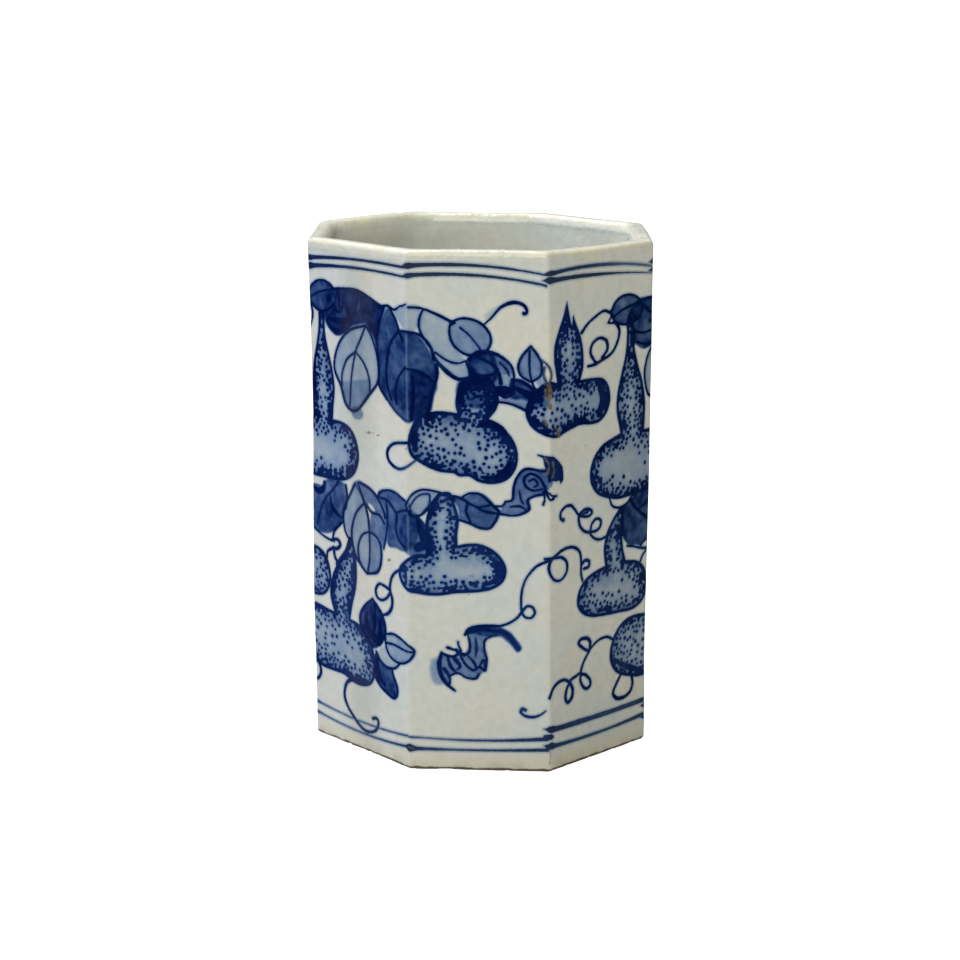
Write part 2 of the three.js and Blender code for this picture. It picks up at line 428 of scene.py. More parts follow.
def folded_leaf(c):
    """The largest leaf, dark and folded over itself, that bends round the arris."""
    s = SIDE
    c.fill(
        [(34, 136.6), (34, 136.6), (30.6, 131.5), (29.4, 125.5), (30, 118), (30, 113.6), (33.4, 109.6),
         (38.6, 105.6), (s + 1, 103.6), (s + 6.4, 105.4), (s + 7.9, 111), (s + 9, 116), (s + 8, 122),
         (s + 3.8, 128.2), (s, 130.2), (38.4, 130.6), (36.6, 134), (34, 136.6)],
        0.68,
    )
    c.fill([(31, 134), (29.6, 126), (30.2, 115), (33.6, 110.4), (33.3, 118), (34.6, 125)], 0.32)
    c.fill([(s + 1.4, 104.4), (s + 6.2, 105.6), (s + 8, 113.5), (s + 5, 117.5), (s + 1.3, 118)], 0.72)
    c.fill([(35, 112), (s - 1, 106.4), (s + 1, 106), (s + 0.8, 112), (37.5, 114)], 0.32)
    c.line([(32.4, 136.4), (30.4, 131.5), (29.3, 125.5), (30, 118), (29.9, 113.5), (33, 110)],
           (0.8, 1.2, 0.9))
    c.line([(33.4, 109.8), (36.5, 107), (39.5, 105.4), (s + 0.5, 104.2)], (0.7, 0.5), tone=0.75)
    c.line([(34.6, 136.4), (37, 133.4), (38.6, 130.2), (40, 127.6)], (1.0, 1.0, 1.3))
    c.line([(38.3, 130.2), (34.8, 126), (33.2, 119.5), (33.4, 114.3), (35, 110.2)], (1.1, 1.0, 0.9))
    c.line([(39.6, 130.3), (s, 130), (s + 4, 128.6), (s + 7, 125.4), (s + 8.2, 121.6)], (1.0, 0.9, 1.3))
    c.line([(s - 0.4, 119.9), (38.4, 117.4), (37, 114), (37.2, 109.4)], (0.8, 1.0, 0.8))
    c.line([(s - 1, 119.7), (s + 2, 118.7), (s + 5.4, 117.2), (s + 8.2, 114.7)], (0.7, 1.0, 0.9))
    c.line([(s + 8.8, 120), (s + 8.9, 116.8), (s + 7.4, 112), (s + 6.2, 106.2)], (1.5, 1.1, 1.3))
    c.line([(s + 1.7, 117), (s + 1.9, 111), (s + 1.2, 104.5)], (0.9, 1.5, 1.1))


def vine_stem(c):
    s = SIDE
    c.fill([(36, 135.8), (39, 137), (s, 137.6), (s + 4, 136.4), (s + 3.8, 131), (s, 130.4)], 0.2)
    c.line([(30.8, 136.1), (33.8, 136.8), (36.6, 136), (39, 137.2), (s, 137.8)], (1.0, 0.8, 0.5))
    c.line([(39.6, 137.2), (s, 137.8)], (0.6, 0.5))
    c.line([(s + 0.6, 136.9), (s + 5, 136.2), (s + 9, 134.6), (s + 13.4, 132.4)], (0.8, 0.9, 1.0))


def canopy(c):
    """Pale leaves over the leaning gourd, and the tendril that reaches out of them."""
    c.fill([(4.9, 136.2), (3.9, 133), (4.1, 130), (5.8, 126.6), (8, 124), (12, 121.4), (17, 121.4),
            (17, 121.4), (14, 126), (12.8, 131), (13, 133), (9, 135)], 0.19)
    c.line([(4.9, 136), (3.8, 133), (4.1, 129.8), (5.8, 126.8), (7.2, 124.6)], (0.9, 0.9, 0.7))
    c.line([(8.2, 123.8), (12, 121.3), (15, 120.6), (17.6, 121.4)], (0.7, 0.9, 0.7))
    c.fill([(8.5, 123), (10, 120.6), (13, 117), (16, 116), (19, 117), (19, 120.6), (15, 120.4)], 0.2)
    c.line([(8, 122.6), (9.6, 120.3), (12.4, 117.6), (15.2, 116), (18.4, 116.4)], (0.9, 1.6, 1.1))
    c.line([(17.3, 121), (18.2, 118.6), (18.4, 116.4)], (0.7, 0.9))
    c.leaf(
        [(12.9, 131.8), (16, 133.5), (20, 133), (23, 131), (24.6, 128), (24, 125.2), (21.5, 123.3),
         (18, 123), (15, 124.6), (12.9, 127.6)],
        0.35, width=0.9,
    )
    c.line([(13.8, 132.4), (13.1, 132)], 1.5)
    c.line([(15.7, 130.9), (18.4, 128.6), (21.6, 124.7)], 0.7)
    c.fill([(24, 133.4), (27, 136.4), (26, 137), (23, 134.5)], 0.1, soft=0.7)
    c.line([(22.5, 131.7), (25, 134), (27.5, 136.8), (31, 138.3), (33.8, 137.8), (35, 136.4),
            (34.9, 135.3), (34.2, 135.2)], (0.5, 0.8, 1.3, 1.2, 1.0, 1.4))


def leaning_gourd(c):
    """A gourd that leans over, its small upper bulb under a dark knot of leaves."""
    c.gourd(
        [(15.6, 115), (14.6, 111.5), (14.3, 108.4), (14.9, 106), (14.9, 106), (10, 106.5), (6, 106),
         (2.8, 104.3), (0.8, 101), (0.2, 97), (1.6, 93.4), (5, 90.8), (9.5, 89), (13.6, 88.6),
         (15.3, 87.7), (18, 87.8), (21, 86.2), (25, 85.7), (28.8, 86.8), (31.2, 89.6), (32.1, 93.2),
         (31.5, 97), (29.6, 100.2), (26.5, 102.5), (23.6, 104.4), (23.6, 104.4), (25.8, 107.2),
         (26.7, 110.2), (26, 113.5), (24, 116.5), (19, 117)],
        rim=2.3, spread=1.8,
    )
    c.fill([(15.4, 116), (15.2, 109.4), (19, 107.6), (25.6, 107.6), (26.2, 112), (23.6, 117)], 0.42)
    c.line([(15.9, 114.6), (15.7, 111.6), (16, 108.6)], (1.6, 2.6, 2.0))
    c.line([(20.4, 102.2), (23, 103.4), (27.5, 101.4), (30.4, 97.8)], (0.8, 3.2, 2.6, 1.2))
    c.line([(18.4, 112.2), (21, 113.4), (25, 112.3)], (0.5, 1.1, 0.8))
    c.line([(18.2, 110), (21.4, 111.2), (25.6, 110.2)], (0.5, 1.1, 0.8))
    c.line([(20.6, 108.4), (23.4, 109), (25.4, 108.2)], (0.4, 1.1, 0.7))


def leaning_shade(c):
    """Second strokes that thicken the leaning gourd's rim at its left end and low at its right."""
    c.line([(2.9, 103), (2.0, 99), (2.5, 95.2)], (1.0, 3.0, 1.4))
    c.line([(21.6, 87.6), (26, 87.4), (29.2, 90), (30.2, 93.6)], (0.8, 2.6, 2.8, 0.9))


def leaf_knot(c):
    """Dark leaves heaped over the stem between two gourds."""
    c.fill([(18, 122.4), (21.6, 124), (24.8, 123.7), (26.2, 120.4), (26.4, 116.6), (24.6, 114.6),
            (21, 113.8), (18.6, 116.6)], 0.82)
    c.fill([(24.4, 123.4), (28.2, 122.2), (30.6, 119.6), (31.2, 117.2), (30.2, 115.4), (27.6, 113.6),
            (25.4, 114.6), (25.6, 119)], 0.5)
    c.clear([(26.9, 118.4), (28, 117.4), (30.4, 117.6), (31, 115), (29.6, 113.7), (27.9, 114.8)])
    c.fill([(26.9, 118.4), (28, 117.4), (30.4, 117.6), (31, 115), (29.6, 113.7), (27.9, 114.8)], 0.24)
    c.line([(18.2, 121.8), (20.6, 123.6), (23.6, 123.9), (27, 122.9), (30.2, 120.4), (31.2, 117.4),
            (31, 115)], (1.0, 1.8, 1.5, 0.9, 0.9, 0.9))
    c.line([(17.4, 121), (19, 118.6), (21, 117.2), (24.6, 117.4), (26.6, 118.8)], (1.1, 1.1, 1.0), tone=0.92)
    c.line([(19, 122.6), (22, 121.9), (25.2, 120.2), (26.8, 117.8), (27.4, 115)],
           (0.6, 0.8, 1.2, 1.2, 1.4), tone=0.95)
    c.line([(27, 121), (29, 119), (29.8, 117.2)], (0.6, 1.0, 0.6), tone=0.85)
    c.fill([(27, 110.6), (31, 111.4), (37, 111.6), (41, 112), (41, 109), (35, 107.4), (33, 108),
            (29, 109.3), (26, 109.6)], 0.36)
    c.line([(26.4, 113.2), (28.6, 112.4), (30.4, 112.6)], (2.4, 4.4, 2.6))
    c.fill([(30, 116), (33.4, 116), (37, 113.8), (39, 112), (38, 109.6), (34, 110.6), (30, 111)], 0.72)
    c.line([(31, 114), (34, 112.4), (36.4, 111.4), (38.6, 110.4)], (1.2, 2.2, 3.4, 2.6))
    c.line([(30.6, 116.2), (33.4, 115.6), (36, 114), (38, 112.4)], (0.8, 1.2, 1.6))
    c.line([(25.9, 109.6), (29.4, 109.2), (32.4, 108.2), (35, 106.9)], (0.8, 0.8, 1.1))


def small_leaf(c):
    """A small upright pointed leaf on its stem, and the scorched one beside it."""
    c.leaf(
        [(36.1, 125.8), (36.1, 125.8), (33.6, 123), (32.4, 119.8), (33.3, 117.2), (36.2, 115.4),
         (36.2, 115.4), (38.8, 117.4), (39.2, 120.4), (38.2, 123), (36.1, 125.8)],
        0.42, veins=[[(35.7, 124.4), (35.7, 119), (36.3, 115.4)]], width=0.9,
    )
    c.line([(36.4, 115.3), (37, 114), (37.8, 113.2)], 0.8)
    c.fill([(37.4, 115.4), (39.6, 118), (41, 116), (40, 113.6)], 0.22)
    c.line([(39.2, 122), (41.2, 120.4), (42.2, 118.2), (41.6, 115.8)], (0.5, 0.9, 0.7), tone=0.85)
    c.line([(40, 120), (39.7, 117.6), (40.6, 115.4)], 0.8, tone=0.8)
    c.scorch([(39.4, 121.9), (41, 120.4), (41.9, 118.4), (41.2, 116.2), (40.2, 115)], 0.55, 0.85)
    c.scorch([(40.2, 120), (39.9, 117.8), (40.6, 115.4)], 0.45, 0.7)


def forked_gourd(c):
    """A gourd with a long forked tip; it lies across the arris."""
    s = SIDE
    c.gourd(
        [(s + 7, 138.6), (s + 7, 138.6), (s + 5.6, 134.6), (s + 3.6, 130.4), (s + 2.1, 126.4),
         (s + 1.9, 122.4), (s + 2.6, 118.6), (s + 3, 115.9), (s + 3, 115.9), (s, 116), (38.2, 113.8),
         (35.6, 110.6), (34.5, 106.6), (36, 102.7), (39.6, 100.3), (s + 2.6, 100.4), (s + 6, 101.6),
         (s + 9, 102.4), (s + 12, 103), (s + 16, 102.6), (s + 19.6, 102.9), (s + 22.4, 105),
         (s + 23.9, 108.6), (s + 23.2, 112.6), (s + 20.8, 115.2), (s + 16.6, 115.8), (s + 11.8, 115.8),
         (s + 11.8, 115.8), (s + 13, 119.4), (s + 13, 124), (s + 12, 128.6), (s + 10.4, 132),
         (s + 9.4, 134.5), (s + 9.4, 134.5), (s + 8.8, 131.6), (s + 7.9, 134.5), (s + 7, 138.6)],
        rim=1.8,
    )
    c.line([(s + 19.6, 112.6), (s + 21.4, 109), (s + 19.4, 105.4)], (2.2, 4.2, 2.6), tone=0.92)
    c.line([(37, 111.4), (39.4, 113), (s + 1, 112.8)], (2.0, 3.0, 0.8))
    c.scorch([(s - 0.2, 115.8), (s + 0.4, 113), (s - 0.2, 110.4), (s + 0.2, 108.6)], 1.1)
    c.scorch([(s - 1.2, 113.6), (s - 1, 111)], 0.6, 0.8)
    c.scorch([(s + 1.6, 104), (s + 2.8, 102.6), (s + 3.4, 101)], 1.0, 0.8)
    c.scorch([(s - 1.6, 105.4), (s - 1, 103.6)], 0.8, 0.7)


def ring_tendril(c):
    """A loop that the leaning gourd hangs from, and iron specks beside it."""
    s = SIDE
    specks = ((25.2, 98.8, 0.8), (27.2, 99, 0.4), (29.2, 98.7, 0.35), (41.2, 96.4, 0.4), (33.4, 62.4, 0.5))
    for u, z, size in specks:
        c.scorch([(u - size, z), (u + size, z + 0.2)], size, 0.9)
    c.line([(s + 0.6, 98), (38.4, 98.1), (35, 97), (33.1, 94.6), (33.9, 92), (37, 90.5), (s - 1, 90.9),
            (s + 1.6, 91.8), (s + 3.4, 93)], (1.0, 1.2, 1.3, 1.1, 0.9, 0.8), tone=(0.9, 1.0, 0.6))


def sprig(c):
    """A leaf by a small ring of tendril."""
    c.leaf(
        [(24.2, 134), (24.2, 134), (26, 136.6), (29, 138.1), (32.4, 138.1), (35.4, 136.8), (37.4, 134),
         (36, 131.4), (32.6, 129.9), (28.8, 130), (25.6, 131.4), (24.2, 134)],
        0.66, veins=[[(25, 132.4), (28.6, 134), (33, 135.1), (37, 135.6)]], width=0.9,
    )
    c.line([(12.6, 129.4), (14.6, 131.4), (18, 133.4), (21.4, 134.7), (24, 133.9)],
           (1.3, 0.9, 0.9, 1.2))
    c.line([(24, 134.4), (24.2, 132.6), (23, 131.1)], 0.8)
    c.line([(23, 131), (26, 130.6), (27.5, 128.6), (27, 125.6), (24.6, 122.3), (20.4, 120.6),
            (17.6, 119.7), (15, 119.5)], (0.6, 1.2, 1.3, 1.1, 1.0, 1.1, 1.0))
    c.line([(20.4, 121.2), (22.6, 123.4), (22.3, 126), (19.6, 127.1), (16.8, 125.8), (16, 123.3),
            (17.4, 120.9), (18.6, 120.1)], (1.0, 1.3, 1.1, 1.0, 1.2, 1.0))


def tall_gourd(c):
    """A gourd with a long straight neck, half of it past the right arris."""
    s = SIDE
    c.fill([(30.6, 131), (35, 136.2), (s, 136.6), (s + 5, 135), (s + 7, 130), (s + 4, 124.5),
            (s - 2, 121.8), (36, 122.6), (32.6, 125.6)], 0.76)
    c.line([(37, 136), (s - 1, 136.4), (s + 4, 135.4), (s + 7, 131.6)], (0.8, 1.0, 0.8))
    c.line([(34, 127.2), (38, 126.4), (s, 127)], (0.8, 1.0, 0.8))
    c.line([(35, 124), (38.6, 123), (s, 123.4), (s + 4.4, 124.8), (s + 7, 128.4), (s + 7, 131.6)], 0.9)
    c.line([(s - 1, 129.6), (s + 2.4, 130.4), (s + 5.6, 132.6)], (1.2, 1.1, 0.7))
    c.line([(s + 1.6, 130.2), (s + 3.6, 128), (s + 4.6, 126)], (0.9, 0.8, 0.6))
    c.line([(32, 131), (33, 127.4), (33.6, 123.6)], (2.4, 2.4, 1.6))
    c.line([(s + 0.6, 131), (38.9, 133.4), (37.2, 135)], (1.0, 1.0, 0.7))
    c.gourd(
        [(30.9, 130), (30.8, 125.4), (30.2, 120.6), (28.6, 115.4), (27.1, 110), (26.8, 105),
         (27.9, 100.4), (28.5, 97.9), (28.5, 97.9), (25, 97), (21, 95.7), (17.6, 92.8), (16, 89),
         (16.3, 85), (18.8, 81.6), (23, 79.6), (28, 78.5), (34, 78.6), (s + 1, 79.4), (s + 6, 81),
         (s + 8.6, 85), (s + 8.4, 91), (s + 5.6, 95.6), (s + 1, 97.3), (38.6, 97.5), (38.6, 97.5),
         (38.9, 102), (38.8, 107), (37.4, 112.6), (35.2, 118.2), (33.6, 124), (33.3, 130)],
        rim=1.75,
    )


def neighbour_leaf(c):
    """The edge of a pale leaf that hangs beside the long neck."""
    s = SIDE
    c.fill([(38.6, 115), (s - 1.2, 121), (s + 2.5, 123), (s + 5, 118), (s + 4, 110), (s - 0.6, 107)],
           0.2)
    c.line([(s + 2.5, 123), (s - 1, 120.6), (38.6, 115.6), (39, 111), (s - 0.4, 107.4), (s + 4, 110),
            (s + 5.2, 118), (s + 2.5, 123)], (0.8, 1.0, 1.1, 0.9))
    c.line([(s + 2.5, 123), (s + 2.9, 125.6)], 1.0)


def lower_canopy(c):
    """Dark leaves at the left of the lower branch."""
    c.fill([(-5, 76), (0, 79), (4.6, 79.4), (7, 81.8), (12, 82.2), (15.4, 81.4), (15.9, 77.4),
            (14.4, 72.6), (13.4, 69.6), (10, 66.6), (6.4, 65.2), (2, 65), (-1, 66), (-5, 70)], 0.64)
    c.fill([(4, 74.4), (8.4, 74.4), (12.6, 71), (9.6, 66.6), (4, 65.6), (1.8, 67.4)], 0.22)
    c.line([(0, 78.4), (2.6, 77.4), (4.8, 78.6), (5.4, 80.6)], (1.6, 2.6, 1.4))
    c.line([(11.8, 81.8), (9, 78.8), (6, 76), (3.8, 72.4), (2, 67.2)], (0.8, 0.9, 0.8), tone=0.9)
    c.line([(7.9, 76.8), (8.6, 74.2), (10.8, 72.2), (13.2, 71.2)], (0.8, 1.6, 0.9), tone=0.9)
    c.line([(15.2, 81.4), (15.8, 77.6), (15, 74.4)], 1.0)
    c.line([(13.4, 69.8), (10, 66.8), (8.9, 63.8)], (0.9, 1.2, 0.9))
    c.line([(0, 66), (3.4, 64.4), (7, 63.4), (9.6, 63.4)], (0.7, 0.9, 1.1))
    c.line([(9.2, 63.9), (11.4, 64), (12.4, 62.8), (11.2, 61.4), (8.6, 60.8), (6.6, 59.4), (6.2, 57.2)],
           (1.0, 1.6, 1.5, 1.2, 1.0))
    c.line([(9.4, 61.2), (9.9, 58.6), (11.4, 56.8)], (1.6, 1.4, 1.4))
    c.line([(16.8, 65.4), (15.2, 61.6), (12.6, 58.4), (11, 56.4)], (1.6, 1.6, 2.0))


def folded_pair(c):
    """Two pale leaves folded into each other, hanging from the lower branch."""
    c.fill([(19, 82.8), (16.6, 78.4), (14.3, 74), (14.2, 69.6), (16.8, 65.4), (19.6, 60.4), (24, 56.6),
            (28.8, 57.8), (30.1, 62), (29.6, 67), (25.4, 70), (24, 77)], 0.26)
    c.fill([(25.4, 69), (25.4, 57.2), (25.4, 57.2), (28.8, 57.8), (30.1, 62), (29.4, 67)], 0.2)
    c.line([(19.2, 82.6), (16.8, 78.6), (14.3, 74.2), (14, 70.2), (15, 67), (16.9, 65)],
           (0.9, 0.9, 1.1, 1.0, 0.9))
    c.line([(23, 77.4), (19.8, 74.2), (17.9, 69.6), (17.7, 65.6), (19.2, 61), (21.4, 58.6), (24, 56.5)],
           (0.9, 1.0, 1.1, 1.1, 1.0))
    c.line([(20.6, 83), (22.4, 79.4), (24, 76.2), (25, 72.4), (25.3, 67), (25.2, 61), (24.4, 56.8)],
           (0.8, 1.1, 1.1, 0.9, 1.0))
    c.line([(25.3, 69.4), (22.3, 67.9), (20.5, 64.4), (20.6, 60.6), (22, 58.3)], (0.8, 1.0, 1.1, 0.9))
    c.line([(25.3, 69.4), (28.4, 68.2), (30.1, 65.4), (30, 61), (28.4, 57.8), (24, 56.4)],
           (0.9, 1.0, 1.2, 1.1, 1.0))
    c.scorch([(26.2, 66), (26.4, 63), (27.2, 60.4)], 1.1, 0.35)


def shadow_leaves(c):
    """Mid-blue leaves behind the folded pair, that run on across the arris."""
    s = SIDE
    c.fill([(19, 82.8), (22, 84), (25, 83), (29, 80.6), (32.2, 76.4), (32.9, 71), (31.6, 65.6),
            (30.2, 65.8), (29, 68), (25.5, 69.4), (25.8, 75.4), (23.6, 77), (21, 80)], 0.5)
    c.fill([(29.2, 82.2), (32, 83.4), (37, 83.1), (s, 80.6), (s + 1.4, 77), (s + 3.6, 73), (s + 1, 67),
            (37, 66.6), (33.2, 66.8), (33, 71), (32, 77), (29.4, 80.6)], 0.56)
    c.fill([(36.6, 77), (36.4, 72.4), (38.6, 68.6), (s + 1, 66.2), (s + 3, 71), (s + 1, 76.6)], 0.18)
    c.line([(21, 83.4), (25, 82.6), (28.4, 80.6), (31, 77.4), (32, 74.8)], (0.9, 1.0, 0.9), tone=0.95)
    c.line([(24.2, 77.2), (26.4, 75.4), (29.6, 75.2), (31.6, 73)], (0.8, 0.9, 0.8), tone=0.9)
    c.line([(32.2, 80.6), (32.9, 77), (32.6, 71), (31.2, 65.4)], (0.7, 1.0, 0.8), tone=0.85)
    c.line([(29, 80.7), (30.2, 82.3), (33.4, 83.4), (37, 83), (40.4, 81.2)], (0.8, 0.9, 0.8), tone=0.9)
    c.line([(29.2, 80.6), (33, 80.2), (35.6, 78.2), (37, 76.4), (36.3, 73), (37.6, 69.4), (s - 0.6, 67)],
           (0.8, 1.0, 0.9, 0.8), tone=0.85)
    c.line([(37, 77.4), (39.6, 78.4), (s + 1, 77.8)], 0.9, tone=0.8)
    c.leaf(
        [(s - 0.8, 80), (s - 0.8, 80), (s + 1.4, 82.6), (s + 5, 83.6), (s + 9.6, 82.9), (s + 9.6, 82.9),
         (s + 7, 79.6), (s + 5, 76.9), (s + 2.6, 75.8), (s + 0.4, 77.2), (s - 0.8, 80)],
        0.24, width=0.8,
    )
    c.line([(s + 0.6, 79.2), (s + 3, 81.7), (s + 6.3, 82.2), (s + 6.2, 79), (s + 4.4, 76.8)],
           (0.6, 0.8, 0.7), tone=0.8)
    c.clear([(25, 77.9), (26.4, 77.6), (27.8, 76.3), (27.2, 75.9), (25.4, 76.6)])


def lower_gourd(c):
    """A gourd on a straight neck, its body drawn out to the right; a dark leaf covers its left."""
    s = SIDE
    c.fill([(-1, 77), (2.6, 76.4), (4.6, 72), (8.2, 68.6), (8.6, 65), (4, 62.6), (0.8, 64.4),
            (-2, 66.8), (-3.4, 71)], 0.5)
    c.gourd(
        [(9.6, 82.9), (6.8, 79), (5.5, 75), (5.3, 70.5), (6.2, 66.6), (5, 64.4), (5, 64.4), (1, 64.4),
         (-2.6, 62.6), (-4, 60), (-3, 57), (0, 54.2), (4, 52.7), (9, 52.5), (14, 53.3), (20, 53.7),
         (24.4, 54.6), (27.6, 56.7), (28.7, 59.8), (27.8, 63), (25, 66), (21.4, 67.7), (18, 67.9),
         (14.5, 67.3), (14.5, 67.3), (14.4, 70.4), (14.9, 75), (13.8, 79.4), (12.4, 82.6)],
        rim=1.6, tone=0.93,
    )
    c.line([(2.6, 76), (4.2, 72.2), (5.8, 68), (6.4, 65)], (1.0, 3.4, 4.4, 2.2), tone=0.9)
    c.line([(3, 66.6), (5.4, 67.6)], 3.4, tone=0.88)
    c.line([(9.4, 82.4), (12, 82.2), (13.6, 80.6)], (1.2, 2.0, 1.2), tone=0.9)
    c.line([(9.6, 82.4), (7.6, 80), (6.3, 77.4)], (1.0, 1.4, 1.2), tone=0.92)
    c.line([(23, 65), (26, 62.6), (26.2, 59)], (0.8, 1.6, 0.6), tone=0.75)


def lower_shade(c):
    """A second stroke that thickens the lower gourd's rim at its right end."""
    c.line([(22.6, 55.8), (25.8, 57.6), (26.6, 60.6), (24.6, 64)], (0.9, 2.4, 2.8, 1.0), tone=0.88)


def branch_leaf(c):
    """The leaf between the lower gourd and the flying bat."""
    c.fill([(13, 81.2), (16.4, 81.6), (19, 83), (22, 82.6), (25, 80), (27, 77.6), (25.6, 74.6),
            (23, 72.6), (20, 73), (15.4, 75), (15, 78)], 0.48)
    c.fill([(17.5, 80.4), (24, 79), (26.6, 77.4), (25, 74), (22.6, 72.8), (19, 74), (17.4, 77)], 0.18)
    c.line([(12.6, 81.9), (15.8, 81.2), (18.4, 79.6), (21, 78.8), (24.6, 79.6)], (1.4, 0.9, 0.8, 1.0))
    c.line([(15.6, 81.4), (18, 82.7), (21, 82.6), (23.4, 80.8), (25.2, 79), (26.9, 77.4)],
           (0.7, 0.9, 1.0, 1.2, 0.9))
    c.line([(15, 74.9), (18, 74), (21, 72.7), (23.8, 72.6), (25.6, 74.6), (26.6, 77)],
           (0.8, 1.1, 1.1, 0.9))
    c.line([(17.7, 80.2), (17.1, 77.4), (18.4, 74.4)], (0.7, 0.9, 0.8))
    c.line([(20.2, 78.6), (23, 77.4), (27, 76.9)], (0.8, 1.1, 0.8))
    c.line([(25.2, 79.2), (27.6, 79.2), (28.6, 80.6)], (0.7, 0.7, 0.6))


def flying_bat(c):
    """A bat seen from its side at the end of the branch: a curled wing, and a dark one raised."""
    s = SIDE
    c.fill([(27, 76.6), (28.6, 80.2), (30.4, 81), (30.8, 84.8), (32, 88), (34.6, 90.2), (37.4, 89.9),
            (s - 1, 90.2), (s + 1, 87), (39.4, 83), (36, 81.6), (35.2, 78), (32.6, 76.8)], 0.5)
    c.line([(26.6, 76.9), (30.4, 76.4), (33.4, 77), (35.4, 78.5), (35, 81), (37, 82.3), (39.4, 82.8)],
           (0.8, 0.9, 1.2, 0.9, 0.8))
    c.line([(28.4, 80.4), (30.6, 81.2), (30.9, 84.4), (31.8, 87.4), (34, 90), (36.8, 90.1), (39, 89.6),
            (s - 0.6, 90.2)], (0.7, 0.9, 1.0, 1.1, 0.9, 0.8))
    c.line([(39.2, 84.4), (36.6, 83.9), (34.4, 85.2), (34, 87.4), (35.8, 88.8), (38.2, 87.8),
            (39.8, 85.4), (40.4, 83.4)], (0.7, 1.0, 1.0, 0.9))
    c.line([(35.4, 86.6), (36.8, 87.2), (37.9, 85.8), (36.8, 84.9)], (0.8, 0.9, 0.7))
    c.line([(29.8, 79), (32.6, 79.2), (34.4, 78.3)], (0.5, 1.1, 0.6))
    c.line([(32.6, 83.6), (33.1, 81), (33.9, 79.8)], (0.5, 0.8, 0.5))
    c.line([(39.6, 83.8), (39.9, 81.6), (39.5, 79.9)], (0.9, 0.6, 0.9))
    c.line([(40.4, 83.4), (s, 81.9), (s + 1.4, 82.4)], (0.9, 0.7, 1.1))
    c.line([(s - 0.6, 83.8), (s + 0.8, 83.2), (s + 2.5, 83.3)], (0.8, 0.7, 1.0), tone=0.9)
    c.line([(38, 94.3), (39.6, 93.8), (s - 0.6, 92.2), (s + 0.6, 89.6), (s - 0.2, 87.2)],
           (0.6, 1.0, 2.6, 3.6, 1.0), tone=0.92)
    c.line([(s - 2, 94), (s + 1.2, 93.7), (s + 3.6, 91.2), (s + 4.4, 88.2), (s + 4.2, 87.2)],
           (0.6, 2.0, 3.2, 2.0, 0.7), tone=0.9)
    c.line([(s + 0.6, 88.8), (s + 2.4, 88.6), (s + 4.2, 88.4)], (2.6, 2.4, 0.8), tone=0.88)
    c.line([(s - 0.4, 92.6), (s + 1.4, 91.4), (s + 2.2, 89.6)], (1.4, 3.4, 2.2), tone=0.9)
    c.scorch([(s - 1.6, 93.6), (s - 0.2, 92), (s - 0.8, 89.6)], 0.9, 0.8)
    c.scorch([(s + 1, 93), (s + 1.6, 90.6), (s + 0.8, 88.4)], 0.7, 0.7)


def looped_tendril(c):
    """A long tendril with two loops that ties the two lower bats' branches across the arris."""
    s = SIDE
    c.line([(27.2, 43.8), (29.6, 44.7), (31.8, 46.2), (33.2, 48), (34.8, 49.7), (36.4, 49.3), (37, 47.7),
            (35.9, 46.3), (34.2, 46.5), (33.2, 48), (33, 51), (33.3, 54.4), (34.6, 58), (37.2, 61.2),
            (s - 1, 63.2), (s + 1.8, 65.2), (s + 5, 66.9), (s + 9, 67.2), (s + 12, 65.4), (s + 12.8, 62),
            (s + 12.8, 58.6), (s + 13.4, 56.2)], (0.9, 0.9, 1.0, 0.9, 0.9, 0.8, 1.0, 1.2, 1.1, 1.0))
    c.line([(s - 1.4, 64), (s + 1.4, 64.8), (s + 4.6, 64.9), (s + 6.9, 63), (s + 6.8, 60), (s + 4.4, 58.1),
            (s + 1.4, 58.6), (s - 0.2, 61), (s + 0.4, 63.6), (s + 2.2, 65.2)],
           (0.9, 1.0, 1.2, 1.1, 1.1, 1.2, 1.0))
    c.line([(s + 12.9, 61.2), (s + 14.4, 62.2), (s + 16, 61.6), (s + 15.8, 60), (s + 14, 59.8)], 1.3)


